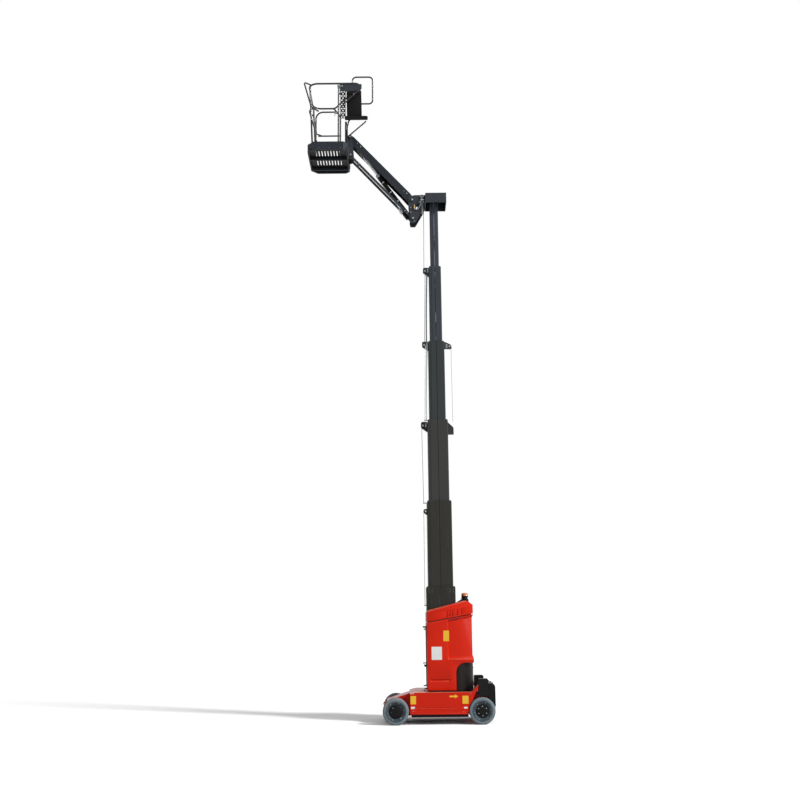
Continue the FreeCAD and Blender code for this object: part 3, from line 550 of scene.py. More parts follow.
def makeChassisDetail():
    chassisLow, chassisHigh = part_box("chassis_frame")
    face = chassisHigh.y
    for sideName, side in sides.items():
        for name, (rangeX, rangeZ, finish) in film["labels"].items():
            filmOn(name + sideName, rangeX, rangeZ, face, side, "chassis", finish)
        makeArrow("arrow_" + sideName, side, face)
        fixings("panelScrews_" + sideName, "chassis", capScrew(0.011),
                [at(x, side * face, z) for x, z in chassisShape["screws"]], (0, side, 0), "bolt")
        rear, front, low, high = chassisShape["sill"]
        sill = axisBlock((rear, side * (face - 0.004), chassisLow.z + low),
                         (front, side * (face + 0.002), chassisLow.z + high), 0.003)
        settle(sill, "sill_" + sideName, "chassis", "red_paint")
        # rolled edge along the deck, and a pressed swage over the sill
        piped("deckBead_" + sideName, "chassis", [(x, side * (face - 0.0062), chassisShape["beadZ"])
                                                  for x in chassisShape["bead"]], 0.0065, "red_paint", smooth=False)
        piped("swage_" + sideName, "chassis", [(x, side * (face - 0.0035), z) for x, z in chassisShape["swage"]],
              0.0065, "red_paint", rings=8)
    # both deck fittings stay below the turning turret
    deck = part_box("slew_ring")[0].z
    turned("fillerCap", "chassis", [(0.034, -0.002), (0.034, 0.004), (0.029, 0.0065), (0.014, 0.007),
                                    (0.012, 0.008)], 28, at(0.318, 0.16, deck), (0, 0, 1), "white")
    lever = joined([axisBlock((0.255, 0.150, deck - 0.001), (0.282, 0.176, deck + 0.008), 0.002),
                    axisBlock((0.262, 0.176, deck + 0.002), (0.272, 0.232, deck + 0.007), 0.002)])
    settle(lever, "brakeValve", "chassis", "black_plastic")


makeHubs()
print("hubs done")
makeChassisDetail()
print("chassis detail done")


# turret: a moulded cover with a ledge, pressed bars and flutes, and its lid
turretShape = {
    "rearCorner": 0.25, "frontCorner": 0.06, "ledge": (0.908, 0.945, 0.972), "ledgeFront": -0.088,
    "ledgeDepth": 0.020, "bar": (-0.096, 0.182, 0.592, 0.626), "barDepth": 0.016, "barEnd": 0.008,
    "flutes": (20, 45, 70), "fluteHalf": 3.2, "fluteIn": 0.955, "bandTop": 0.030,
    "seam": (1.435, 1.555), "gap": 0.018, "sealIn": 0.008, "lidDraft": 0.020, "lidFront": 1.62,
    "lidPeak": (-0.370, 1.77), "lidBack": 1.70, "shoulder": 0.042, "ribs": (-0.075, -0.115, -0.155, -0.225, -0.290),
    "weight": (-0.196, 0.864), "weightCorner": 0.14, "well": 0.226, "smooth": 24,
}
turretLow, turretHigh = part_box("turret_cover")


def seamHeight(x):
    front, rear = turretShape["seam"]
    return front + (turretHigh.x - x) / (turretHigh.x - turretLow.x) * (rear - front)


def turretBlock(top):
    piece = rawBlock(turretLow, (turretHigh.x, turretHigh.y, top))

    def upright(edge, x):
        a, b = (vert.co for vert in edge.verts)
        return abs(a.z - b.z) > 0.5 and abs(abs(a.y) - turretHigh.y) < 1e-4 and abs(a.x - x) < 1e-4

    edgesBevelled(piece, lambda edge: upright(edge, turretLow.x), turretShape["rearCorner"], 18)
    edgesBevelled(piece, lambda edge: upright(edge, turretHigh.x), turretShape["frontCorner"], 6)
    return piece


def sliced(piece, point, normal, below=False, above=False):
    editing(piece, "SELECT")
    bpy.ops.mesh.bisect(plane_co=point, plane_no=normal, use_fill=below or above, clear_inner=below,
                        clear_outer=above)
    bpy.ops.object.mode_set(mode="OBJECT")


def seamSliced(piece, rise, **cleared):
    # a cut along the seam's slope, at a rise above the seam
    front, rear = turretShape["seam"]
    slope = (rear - front) / (turretHigh.x - turretLow.x)
    sliced(piece, (turretHigh.x, 0, front + rise), (slope, 0, 1), **cleared)


def movedIn(piece, picks, scale, centre):
    picked(piece, "verts", lambda vert: picks(vert.co), "VERT")
    bpy.ops.transform.resize(value=scale, center_override=centre)
    bpy.ops.object.mode_set(mode="OBJECT")


def finishedShell(piece, name, edge):
    applied(piece, "BEVEL", width=edge, segments=2, limit_method="ANGLE", angle_limit=math.radians(40))
    settle(piece, name, "turret", "red_paint", turretShape["smooth"])


def cutWell(piece):
    # room for the mast
    well = turretShape["well"]
    cutBy(piece, axisBlock((-well, -well, 0.3), (0.4, well, 2.2)))


def makeCover():
    shape = turretShape
    piece = turretBlock(1.70)
    seamSliced(piece, 0, above=True)
    # a rolled upper edge
    picked(piece, "faces", lambda face: face.normal.z > 0.9, "FACE")
    bpy.ops.mesh.inset(thickness=0.004)
    bpy.ops.mesh.extrude_region_move(TRANSFORM_OT_translate={"value": (0, 0, 0.004)})
    bpy.ops.object.mode_set(mode="OBJECT")
    left, right, low, high = shape["bar"]
    for z in (*shape["ledge"], low, high, high + 0.003):
        sliced(piece, (0, 0, z), (0, 0, 1))
    for x in (shape["ledgeFront"], shape["ledgeFront"] + 0.012, left, right, left - shape["barEnd"],
              right + shape["barEnd"]):
        sliced(piece, at(x, 0, 0), (1, 0, 0))
    seamSliced(piece, -0.040)

    def inBand(p):
        return p.z < seamHeight(p.x) - shape["bandTop"]

    ledgeX, depth = axisX + shape["ledgeFront"], shape["ledgeDepth"]
    length = ledgeX - turretLow.x
    movedIn(piece, lambda p: p.z > shape["ledge"][1] - 1e-4 and p.x < ledgeX + 1e-4 and inBand(p),
            ((length - depth / 3) / length, (turretHigh.y - depth) / turretHigh.y, 1), (ledgeX, 0, 0))
    movedIn(piece, lambda p: axisX + left - 1e-4 < p.x < axisX + right + 1e-4 and abs(p.z - high) < 1e-4 and
            abs(p.y) > 0.37, (1, (turretHigh.y - shape["barDepth"]) / turretHigh.y, 1), (0, 0, 0))
    # flutes round the rear corners
    for side in sides.values():
        centre = Vector((turretLow.x + shape["rearCorner"], side * (turretHigh.y - shape["rearCorner"]), 0))

        def inFlute(p, turn):
            away, across = centre.x - p.x, side * (p.y - centre.y)
            return (p.z > shape["ledge"][2] - 0.001 and inBand(p) and away > -1e-3 and across > -1e-3 and
                    abs(math.degrees(math.atan2(away, across)) - turn) < shape["fluteHalf"])

        for turn in shape["flutes"]:
            movedIn(piece, lambda p: inFlute(p, turn), (shape["fluteIn"], shape["fluteIn"], 1), centre)
    cutWell(piece)
    # room for the ballast, with a round upper edge
    rear, top = axisX + shape["weight"][0], shape["weight"][1]
    cutter = rawBlock((turretLow.x - 0.1, -0.5, 0.3), (rear, 0.5, top))

    def innerTop(edge):
        a, b = (vert.co for vert in edge.verts)
        return abs(a.y - b.y) > 0.5 and a.z > top - 1e-4 and a.x > rear - 1e-4

    edgesBevelled(cutter, innerTop, shape["weightCorner"], 10)
    cutBy(piece, cutter)
    finishedShell(piece, "turretCoverShell", 0.0035)
    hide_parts("turret_cover")


def makeLid():
    shape = turretShape
    piece = turretBlock(1.82)
    seamSliced(piece, shape["gap"], below=True)
    peakX, peakZ = axisX + shape["lidPeak"][0], shape["lidPeak"][1]
    for slope in ((peakZ - shape["lidFront"], 0, turretHigh.x - peakX),
                  (shape["lidBack"] - peakZ, 0, peakX - turretLow.x)):
        sliced(piece, (peakX, 0, peakZ), Vector(slope).normalized(), above=True)
    # sides drawn in towards the top, then a soft shoulder all round it
    movedIn(piece, lambda p: p.z > seamHeight(p.x) + 0.060, (1, 1 - shape["lidDraft"] / turretHigh.y, 1), (0, 0, 0))

    def roundTop(edge):
        tops = [face.normal.z > 0.9 for face in edge.link_faces]
        return any(tops) and not all(tops)

    edgesBevelled(piece, roundTop, shape["shoulder"], 6, "EDGE")
    cutWell(piece)
    for side in sides.values():
        for x in shape["ribs"]:
            z = seamHeight(axisX + x) + 0.040
            cutBy(piece, axisBlock((x - 0.010, side * (turretHigh.y - 0.015), z),
                                   (x + 0.010, side * (turretHigh.y + 0.02), z + 0.085), 0.004))
    finishedShell(piece, "turretLidShell", 0.004)
    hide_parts("turret_lid")


def makeSeal():
    # a filler in the gap between cover and lid, dark red as painted shade in the seam
    piece = turretBlock(1.80)
    seamSliced(piece, -0.02, below=True)
    seamSliced(piece, 0.05, above=True)
    inset = turretShape["sealIn"]
    movedIn(piece, lambda p: True, (1 - inset / 0.35, 1 - inset / turretHigh.y, 1),
            ((turretLow.x + turretHigh.x) / 2, 0, 0))
    cutWell(piece)
    settle(piece, "lidSeal", "turret", "seamShade")


def makeTurretDetail():
    face = turretHigh.y
    for sideName, side in sides.items():
        filmOn("tallLabel_" + sideName, (-0.0155, -0.1), (1.175, 1.327), face - 0.0002, side, "turret", "yellow")
        filmOn("wideLabel_" + sideName, (0.163, 0.010), (0.908, 1.095), face - 0.0002, side, "turret", "white")
        # front edge strip beside the mast, with the cover's three stop pins
        strip = rawBlock((turretHigh.x - 0.010, side * 0.232, turretLow.z + 0.02),
                         (turretHigh.x + 0.006, side * 0.262, 1.40), 0.004)
        settle(strip, "frontEdge_" + sideName, "turret", "black_paint")
        pin = rawTurned([(0.0075, 0), (0.0075, 0.036), (0.011, 0.037), (0.011, 0.044), (0.008, 0.047)], 14)
        fixings("stopPins_" + sideName, "turret", pin,
                [(turretHigh.x, side * 0.300, z) for z in (1.377, 0.832, 0.495)], (1, 0, 0), "black_plastic")
    # lid latches on the seam of the right side, with their keepers
    latches = []
    for x, inset in ((0.120, face), (-0.250, face - 0.010)):
        z = seamHeight(axisX + x)
        latches += [axisBlock((x - 0.012, 0.004 - inset, z - 0.036), (x + 0.012, -0.004 - inset, z + 0.026), 0.003),
                    aim(capScrew(0.012), at(x, -0.0035 - inset, z - 0.022), (0, -1, 0))]
    settle(joined(latches), "lidLatches_right", "turret", "black_plastic")
    # slats and a socket cover at the back, and bolts on the back of the ballast
    fixings("rearVent", "turret", rawBlock((-0.006, -0.11, -0.009), (0.006, 0.11, 0.009), 0.004),
            [(turretLow.x + 0.009, 0, 1.08 + 0.034 * i) for i in range(8)], (0, 0, 1), "black_plastic")
    plate = rawBlock((turretLow.x + 0.006, -0.060, 1.40), (turretLow.x + 0.016, 0.060, 1.49), 0.006)
    settle(plate, "socketCover", "turret", "black_plastic")
    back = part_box("counterweight")[0].x + 0.0005
    fixings("weightBolts", "turret", hexBolt(0.024), [(back, y, z) for y in (-0.09, 0.09) for z in (0.56, 0.78)],
            (-1, 0, 0), "bolt")


def makeBeacon():
    x, top = turretShape["lidPeak"]
    turned("beaconFoot", "turret", [(0.040, -0.014), (0.040, 0.010), (0.048, 0.014), (0.048, 0.040), (0.044, 0.047),
                                    (0.052, 0.050), (0.052, 0.062), (0.046, 0.066)],
           36, at(x, 0, top), (0, 0, 1), "black_plastic")
    lens = turned("beaconLens", "turret", [(0.046, 0.064), (0.050, 0.067), (0.0505, 0.092), (0.049, 0.100),
                                           (0.043, 0.107), (0.030, 0.111), (0.012, 0.112)],
                  40, at(x, 0, top), (0, 0, 1), "amber_lens")
    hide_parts("beacon")
    turned("beaconGland", "turret", [(0.006, -0.011), (0.011, -0.006), (0.012, 0), (0.011, 0.006), (0.006, 0.011)],
           18, at(x + 0.052, 0.020, top + 0.030), (0, 0, 1), "zinc")


makeCover()
makeLid()
makeSeal()
makeTurretDetail()
makeBeacon()
print("turret done")


# mast: paint section by section, ropes and hoses down the front, nuts and pad screws
# section colours grow paler and bluer towards the top: painted sky reflection
mastPaint = ["25241f", "2b2a25", "383837", "35393a", "3a4147", "414750"]
# wheel of each bracket: (section, x, y, z, half the bracket's width)
mastWheels = [(1, 0.214, 0.145, 3.124, 0.020), (2, 0.229, -0.066, 4.519, 0.020), (3, 0.196, 0.066, 5.824, 0.020),
              (4, 0.161, 0.000, 7.114, 0.022), (3, -0.214, 0.055, 5.801, 0.020)]
mastHalves = [0.220, 0.190, 0.160, 0.130, 0.100, 0.070]
mastTops = [1.980, 3.290, 4.580, 5.880, 7.170]
# soft runs: (name, section at the foot, foot, head, radius, finish)
mastRuns = [("frontRope_0", 0, (0.245, 0.145, 1.70), (0.243, 0.145, 3.112), 0.0045, "rope"),
            ("frontRope_1", 1, (0.236, -0.112, 3.283), (0.250, -0.106, 4.500), 0.0045, "rope"),
            ("frontHose_2", 2, (0.178, 0.1055, 4.573), (0.149, 0.1055, 5.800), 0.0100, "paleHose"),
            ("frontRope_2", 2, (0.204, 0.1055, 4.573), (0.176, 0.1055, 5.805), 0.0045, "rope"),
            ("frontHose_3", 3, (0.152, -0.108, 5.873), (0.128, -0.102, 7.090), 0.0110, "paleHose"),
            ("frontRope_3", 3, (0.184, -0.108, 5.873), (0.158, -0.050, 7.100), 0.0055, "rope"),
            ("frontRope_4", 4, (0.178, 0.000, 7.150), (0.168, 0.000, 8.235), 0.0055, "rope"),
            ("rearRope", 2, (-0.248, 0.000, 4.560), (-0.240, 0.055, 5.790), 0.0045, "rope")]
# lugs that hold the runs' feet: (section, far x, y, top)
runLugs = [(0, 0.258, 0.145, 1.7035), (1, 0.246, -0.112, 3.2885), (2, 0.214, 0.1055, 4.5785),
           (3, 0.192, -0.108, 5.8785)]


def sectionBody(k):
    return "mast_%d" % k if k else "turret"


def sectionPaint(k):
    # the front edge of each section is darker in a narrow strip; grease runs down from the pads
    half = mastHalves[k]
    material, tree, shader = startMaterial("mastPaint_%d" % k)
    x = partOf(tree, objectPlace(tree), "X")
    offAxis = mathOf(tree, "ABSOLUTE", mathOf(tree, "SUBTRACT", x, axisX))
    base = linear(mastPaint[k])
    dark = [c * 0.62 for c in base[:3]] + [1]
    streak = noiseOf(tree, 14, 4, stretch=(1, 1, 0.05))
    tone = mixed(tree, ranged(tree, noiseOf(tree, 1.7, 4), 0.3, 0.7, 0, 0.22), base, dark)
    tone = mixed(tree, ranged(tree, streak, 0.45, 0.7, 0, 0.30), tone, dark)
    tone = mixed(tree, ranged(tree, x, axisX + half - 0.045, axisX + half - 0.041, 0, 0.55), tone, dark)
    tone = mixed(tree, ranged(tree, offAxis, 0.0045, 0.0065, 0.75, 0), tone, linear("101011"))
    if k > 3:                                    # a broken pale line along the groove of the inner ones is a painted highlight
        gaps = ranged(tree, noiseOf(tree, 5, 3, stretch=(0.1, 0.1, 1)), 0.46, 0.56)
        pale = mathOf(tree, "MULTIPLY", gaps, ranged(tree, offAxis, 0.003, 0.0055, 0.8, 0))
        tone = mixed(tree, pale, tone, linear("aab2b8"))
    rub = ranged(tree, noiseOf(tree, 30, 5, stretch=(1, 1, 0.08), roughness=0.7), 0.60, 0.74, 0, 0.35)
    wire(tree, shader, mixed(tree, rub, tone, linear("6a6f73")), {"Specular IOR Level": 0.2},
         ranged(tree, streak, 0.3, 0.75, 0.30, 0.55), (noiseOf(tree, 160, 2), 0.3, 0.0005))
    return material


def makeRuns():
    for name, section, foot, head, radius, finish in mastRuns:
        low, high = Vector(at(*foot)), Vector(at(*head))
        points = [low.lerp(high, i / 6) for i in range(7)]
        if finish == "paleHose":                 # a hose hangs a little proud of the straight line
            points = [p + Vector((0.006 * math.sin(math.pi * i / 6), 0, 0)) for i, p in enumerate(points)]
        run = settle(rawPipe(points, radius, rings=4), name, sectionBody(section), finish)
        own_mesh(run)


def makeRunLugs():
    for section, far, y, top in runLugs:
        near = mastHalves[section] - 0.003
        lug = axisBlock((near, y - 0.012, top - 0.013), (far, y + 0.012, top), 0.002)
        ring = aim(rawTurned([(0.010, -0.001), (0.010, 0.003), (0.008, 0.004)], 18), at(far - 0.012, y, top),
                   (0, 0, 1))
        settle(joined([lug, ring]), "runLug_%d" % section, sectionBody(section), "bolt")


def makeBracketNuts():
    for count, (section, x, y, z, half) in enumerate(mastWheels):
        nuts, plates = [], []
        inner = x - math.copysign(0.048, x)
        for side in sides.values():
            face = y + side * (half + 0.004)
            nuts.append(aim(hexBolt(0.024), at(x, y + side * half, z), (0, side, 0)))
            plates.append(axisBlock((inner - 0.014, y + side * (half - 0.001), z - 0.030),
                                    (inner + 0.014, face, z + 0.038), 0.002))
            plates += [aim(capScrew(0.012), at(inner, face, z + h), (0, side, 0)) for h in (-0.016, 0.022)]
        settle(joined(nuts), "wheelNuts_%d" % count, sectionBody(section), "zinc")
        settle(joined(plates), "wheelPlates_%d" % count, sectionBody(section), "bolt")


def makePadScrews():
    # screws of the guide pads at each section's mouth; the inner ones clear the section outside them
    for k, top in enumerate(mastTops):
        half = mastHalves[k]
        rows, size = (((0.045, 0.085), 0.014) if k == 0 else ((0.0105,), 0.009))
        screws = [copies(capScrew(size), [at(end * half * share, side * (half - 0.0008), top - down)
                                          for end in (-1, 1) for share in (0.84, 0.62) for down in rows],
                         (0, side, 0)) for side in sides.values()]
        settle(joined(screws), "padScrews_%d" % k, sectionBody(k), "darkBolt")


for section in range(6):
    setPaint(nodes["mast_section_%d" % section], sectionPaint(section))
makeRuns()
makeRunLugs()
makeBracketNuts()
makePadScrews()
print("mast done")


# head, jib, link bars and jib cylinder: pins, bolts, hoses, valve and fittings; each arm is (pivot, angle)
arms = {"boom": ((0.360, 8.340), 48.0), "link": ((0.350, 8.010), 48.0),
        "cylinder": ((0.350, 8.010), math.degrees(math.atan2(0.816229948, 0.577727161)))}
headShape = {"face": 0.112, "boss": (0.196, 8.382), "pin": 0.035, "pinBolt": 0.026}
jibShape = {"half": 0.080, "hoseY": 0.0595, "hoseRise": 0.032, "clipY": 0.0605, "clipHalf": 0.0118,
            "pipe": 0.0055, "gland": 1.020, "bands": (0.42, 0.62, 0.84)}


def along(arm, reach, rise, y):
    # a point at reach along an arm and rise square above it
    pivot, degrees = arms[arm]
    a = math.radians(degrees)
    return at(pivot[0] + reach * math.cos(a) - rise * math.sin(a), y,
              pivot[1] + reach * math.sin(a) + rise * math.cos(a))


def armBlock(arm, low, high, bevel):
    # a block given along, across and square to an arm, then turned with it
    pivot, degrees = arms[arm]
    piece = rawBlock(low, high, bevel)
    piece.matrix_world = (Matrix.Translation(Vector(at(pivot[0], 0, pivot[1]))) @
                          Matrix.Rotation(-math.radians(degrees), 4, "Y"))
    return frozen(piece)


def pinHeads(name, body, places, radius, size, side):
    # dark cover plates, each with a pale bolt in its middle
    outward = (0, side, 0)
    plate = rawTurned([(radius, 0), (radius, 0.006), (radius - 0.003, 0.009)], 28)
    fixings(name + "Plates", body, plate, places, outward, "charcoal_paint")
    fixings(name + "Bolts", body, hexBolt(size), [(x, y + side * 0.009, z) for x, y, z in places], outward, "zinc")


def makeHeadDetail():
    face = headShape["face"]
    bossX, bossZ = headShape["boss"]
    for sideName, side in sides.items():
        outward = (0, side, 0)
        pinHeads("headPins_%s_" % sideName, "mast_5", [at(arms[arm][0][0], side * (face + 0.006), arms[arm][0][1])
                                                       for arm in ("boom", "link")],
                 headShape["pin"], headShape["pinBolt"], side)
        turned("headBoss_" + sideName, "mast_5", [(0.046, -0.002), (0.046, 0.010), (0.040, 0.014), (0.020, 0.014)],
               32, at(bossX, side * face, bossZ), outward, "charcoal_paint")
        fixings("headBolts_" + sideName, "mast_5", hexBolt(0.020),
                [at(bossX + x, side * (face + 0.014), bossZ + z) for x, z in ((-0.019, 0.012), (0.019, 0.012),
                                                                              (0, -0.022))], outward, "zinc")
        fixings("plateBolts_" + sideName, "mast_5", hexBolt(0.018),
                [at(x, side * face, z) for x, z in ((0.168, 8.30), (0.232, 8.30), (0.385, 8.205), (0.385, 8.120),
                                                    (0.330, 7.965))], outward, "bolt")
    # fittings on the left side: cross bar, drop rod, looped hose and a brass union
    bar = joined([axisBlock((0.158, face, 8.324), (0.222, face + 0.018, 8.346), 0.004)] +
                 [aim(capScrew(0.014), at(x, face + 0.018, 8.335), (0, 1, 0)) for x in (0.172, 0.208)])
    settle(bar, "headCrossBar", "mast_5", "zinc")
    rod = joined([axisPipe([(0.196, face + 0.014, 8.335), (0.194, face + 0.014, 8.095)], 0.0055, smooth=False)] +
                 [aim(hexBolt(0.018), at(0.194, face + 0.014, z), (0, 0, -1)) for z in (8.110, 8.085)])
    settle(rod, "headRod", "mast_5", "zinc")
    piped("headHose", "mast_5", [(0.214, face + 0.012, 8.322), (0.216, face + 0.014, 8.290),
                                 (0.232, face + 0.016, 8.215), (0.268, face + 0.016, 8.165),
                                 (0.306, face + 0.014, 8.160), (0.325, face + 0.012, 8.178)],
          0.0065, "paleHose", rings=10)
    turned("headUnion", "mast_5", [(0.008, 0), (0.012, 0.004), (0.012, 0.022), (0.009, 0.026), (0.009, 0.046),
                                   (0.013, 0.050), (0.013, 0.066), (0.007, 0.070)],
           20, at(0.325, face + 0.012, 8.176), (0, 0, 1), "brass")
    inner = joined([axisPipe([(0.150, y, 8.300), (0.205, y, 8.285), (0.262, y, 8.235), (0.292, y, 8.150),
                              (0.300, y, 8.080)], 0.008, rings=8) for y in (-0.070, -0.045, 0.045, 0.070)])
    settle(inner, "headInnerHoses", "mast_5", "hose")
    low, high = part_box("head_box")
    fixings("headTopBolts", "mast_5", hexBolt(0.016), [(x, y, high.z) for x in (low.x + 0.03, high.x - 0.03)
                                                       for y in (-0.15, 0.15)], (0, 0, 1), "bolt")
    cover = joined([rawBlock((low.x - 0.003, -0.13, low.z + 0.03), (low.x + 0.002, 0.13, high.z - 0.03), 0.002)] +
                   [aim(capScrew(0.012), (low.x - 0.003, y, z), (-1, 0, 0)) for y in (-0.115, 0.115)
                    for z in (low.z + 0.045, high.z - 0.045)])
    settle(cover, "headRearCover", "mast_5", "charcoal_paint")


def hollowShade(tree):
    # painted shade in the arm's hollow, between its side faces, where the surface doesn't face up
    across = mathOf(tree, "ABSOLUTE", partOf(tree, objectPlace(tree), "Y"))
    within = ranged(tree, across, jibShape["half"] - 0.004, jibShape["half"] - 0.002, 1, 0)
    return mathOf(tree, "MULTIPLY", within, ranged(tree, upness(tree), 0.45, 0.30))


def makeJibDetail():
    shape = jibShape
    # the boom's paint turns black inside its hollow as painted shade
    setPaint(nodes["jib_boom"], shadeBlackened(paintedSteel("boomPaint", "282d33", "1c1f23", rough=0.42, gloss=0.2),
                                          hollowShade, "050506"))
    # hoses clipped along the inside of the boom
    hoses = joined([rawPipe([along("boom", s, shape["hoseRise"] + (0.003 if i % 2 else 0), y)
                             for i, s in enumerate((0.20, 0.36, 0.52, 0.70, 0.90, 1.10, 1.30, 1.46))],
                            0.0075, rings=4) for y in (shape["hoseY"], -shape["hoseY"])])
    settle(hoses, "boomHoses", "jib", "hose")
    clips = joined([armBlock("boom", (s - 0.012, y - shape["clipHalf"], 0.021),
                             (s + 0.012, y + shape["clipHalf"], 0.044), 0.003)
                    for s in (0.30, 0.62, 0.94, 1.26) for y in (shape["clipY"], -shape["clipY"])])
    settle(clips, "boomClips", "jib", "zinc")
    for sideName, side in sides.items():
        fixings("boomScrews_" + sideName, "jib", capScrew(0.013), [along("boom", s, 0.020, side * shape["half"])
                                                                   for s in (0.16, 0.22, 1.32, 1.40)],
                (0, side, 0), "zinc")
        # worn lower edges on the link bars catch the light
        edge = armBlock("link", (0.06, side * 0.0705, 0.0145), (1.50, side * 0.0775, 0.0185), 0.0012)
        settle(edge, "linkEdge_" + sideName, "link", "zinc")
        fixings("linkScrews_" + sideName, "link", capScrew(0.016), [along("link", s, 0, side * 0.094)
                                                                    for s in (0.14, 0.20, 1.36, 1.42)],
                (0, side, 0), "bolt")
    # valve, ports and feed pipes on the jib cylinder, its gland and its bands
    turn = math.radians(arms["cylinder"][1])
    direction = (math.cos(turn), 0, math.sin(turn))
    port = rawTurned([(0.013, 0), (0.013, 0.030), (0.009, 0.034), (0.009, 0.044)], 20)
    valve = joined([armBlock("cylinder", (0.205, -0.030, -0.088), (0.272, 0.034, -0.040), 0.004),
                    armBlock("cylinder", (0.218, 0.030, -0.080), (0.258, 0.048, -0.050), 0.003),
                    aim(hexBolt(0.026), along("cylinder", 0.238, -0.065, 0.048), (0, 1, 0)),
                    aim(port, along("cylinder", 0.272, -0.062, 0.012), direction)])
    settle(valve, "cylinderValve", "jib_cylinder", "zinc")
    feeds = {0.020: ((0.30, -0.062), (0.36, -0.052), (0.46, -0.044), (0.62, -0.043), (0.80, -0.043),
                     (0.94, -0.043), (0.975, -0.040)),
             -0.018: ((0.19, -0.060), (0.26, -0.050), (0.40, -0.044), (0.60, -0.043), (0.72, -0.040))}
    pipes = joined([rawPipe([along("cylinder", s, rise, y) for s, rise in path], shape["pipe"], rings=5)
                    for y, path in feeds.items()])
    settle(pipes, "cylinderPipes", "jib_cylinder", "zinc")
    gland = aim(rawRing([(0.0386, -0.050), (0.0393, -0.046), (0.0393, -0.004), (0.036, 0.0008), (0.031, 0.003),
                         (0.031, 0.010), (0.026, 0.012), (0.0232, 0.012), (0.0232, 0.0005), (0.036, 0.0003)]),
                along("cylinder", shape["gland"], 0, 0), direction)
    settle(gland, "cylinderGland", "jib_cylinder", "bolt")
    fixings("cylinderBands", "jib_cylinder", rawRing([(0.0352, 0), (0.0375, 0.003), (0.0375, 0.015), (0.0352, 0.018)]),
            [along("cylinder", s, 0, 0) for s in shape["bands"]], direction, "zinc")


makeHeadDetail()
makeJibDetail()
print("head and jib done")


# basket: tray sheet, perforated strip, control box, stay, gate latch, clamps and anchor fittings
basketShape = {"strip": (1.462, 1.552, 9.700, 10.300), "stripThick": 0.0015, "stripHoles": (2, 15, 0.0125),
               "holeStep": (0.040, 0.039), "railHalf": 0.410, "postX": 1.582, "postTop": (10.262, 10.296),
               "rearPosts": (2.015, 0.375), "trayZ": 9.100, "carrierPin": (0.702682, 9.500792),
               "cylinderPin": (1.395, 9.171), "carrierFace": 0.118, "control": (1.340, 0.350, 10.255)}


def makeStrip():
    # perforated strip between the rails behind the near post
    x0, x1, z0, z1 = basketShape["strip"]
    columns, rows, radius = basketShape["stripHoles"]
    stepX, stepZ = basketShape["holeStep"]
    y, half = basketShape["railHalf"] - 0.030, basketShape["stripThick"]
    plate = axisBlock((x0, y - half, z0), (x1, y + half, z1))
    places = [at(x0 + 0.025 + stepX * (column + 0.5 * (row % 2)), y - 0.01, z0 + 0.026 + stepZ * row)
              for row in range(rows) for column in range(columns - row % 2)]
    cutBy(plate, copies(rawTurned([(radius, 0), (radius, 0.02)], 12), places, (0, 1, 0)))
    brackets = [axisBlock((x1 - 0.010, y - half, z), (x1 + 0.022, y + 0.020, z + 0.030), 0.003)
                for z in (z0 + 0.02, z1 - 0.16)]
    settle(joined([plate] + brackets), "perforatedStrip", "basket", "charcoal_paint")


def makeControl():
    low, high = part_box("console_box")
    outer, centreX = high.y + 0.0003, (low.x + high.x) / 2
    # document box front with a pressed border, lid and a clasp
    door = rawBlock((low.x + 0.016, outer, low.z + 0.030), (high.x - 0.020, outer + 0.0035, high.z - 0.085), 0.003)
    lid = rawBlock((low.x + 0.008, outer, high.z - 0.078), (high.x - 0.010, outer + 0.006, high.z - 0.010), 0.004)
    settle(joined([door, lid]), "documentDoor", "basket", "black_plastic")
    clasp = rawBlock((centreX - 0.014, outer + 0.002, high.z - 0.100),
                     (centreX + 0.014, outer + 0.009, high.z - 0.060), 0.003)
    settle(clasp, "documentClasp", "basket", "zinc")
    # control panel on the inner face of the plate: stick, stop knob and switches
    x, y, z = basketShape["control"]
    inward, knobPlace = (0, -1, 0), at(x + 0.080, y, z - 0.005)
    turned("controlStick", "basket", [(0.030, 0), (0.030, 0.006), (0.022, 0.014), (0.013, 0.026), (0.009, 0.032),
                                      (0.009, 0.060), (0.017, 0.066), (0.019, 0.084), (0.012, 0.094)],
           24, at(x, y, z - 0.010), (0, -1, 0.25), "black_plastic")
    turned("stopKnob", "basket", [(0.012, 0), (0.012, 0.010), (0.019, 0.014), (0.020, 0.022), (0.015, 0.028)],
           24, knobPlace, inward, "red_paint")
    turned("stopCollar", "basket", [(0.024, 0), (0.024, 0.003), (0.021, 0.005)], 24, knobPlace, inward, "yellow")
    switch = rawTurned([(0.007, 0), (0.007, 0.005), (0.004, 0.007), (0.003, 0.018), (0.004, 0.020)], 14)
    fixings("controlSwitches", "basket", switch, [at(x - 0.085 + 0.026 * i, y, z + dz) for i in range(3)
                                                  for dz in (-0.02, 0.018)], inward, "zinc")
    # grab tube that slopes over the box, on two welded feet
    clear = outer + 0.032
    piped("grabTube", "basket", [(1.555, 0.410, 9.870), (1.520, 0.424, 9.905), (1.470, clear, 9.955),
                                 (1.360, clear, 10.065), (1.270, clear, 10.150), (1.240, clear - 0.008, 10.180),
                                 (1.232, 0.408, 10.196)], 0.0125, "rail_tube", rings=8)
    # stay under the box, a gusset on the near rear post and the loose-laid harness
    piped("consoleStay", "basket", [(1.120, 0.372, 9.650), (1.150, 0.366, 9.622), (1.290, 0.296, 9.535),
                                    (1.420, 0.205, 9.470), (1.452, 0.172, 9.455), (1.464, 0.150, 9.452)],
          0.012, "rail_tube", rings=8)
    settle(axisBlock((1.444, 0.128, 9.56), (1.486, 0.1315, 9.70), 0.001), "postGusset", "basket", "charcoal_paint")
    piped("controlLoom", "basket", [(1.448, 0.172, 9.300), (1.446, 0.174, 9.420), (1.446, 0.174, 9.600),
                                    (1.440, 0.200, 9.690), (1.400, 0.290, 9.722), (1.340, 0.335, 9.760)],
          0.009, "hose", rings=8)


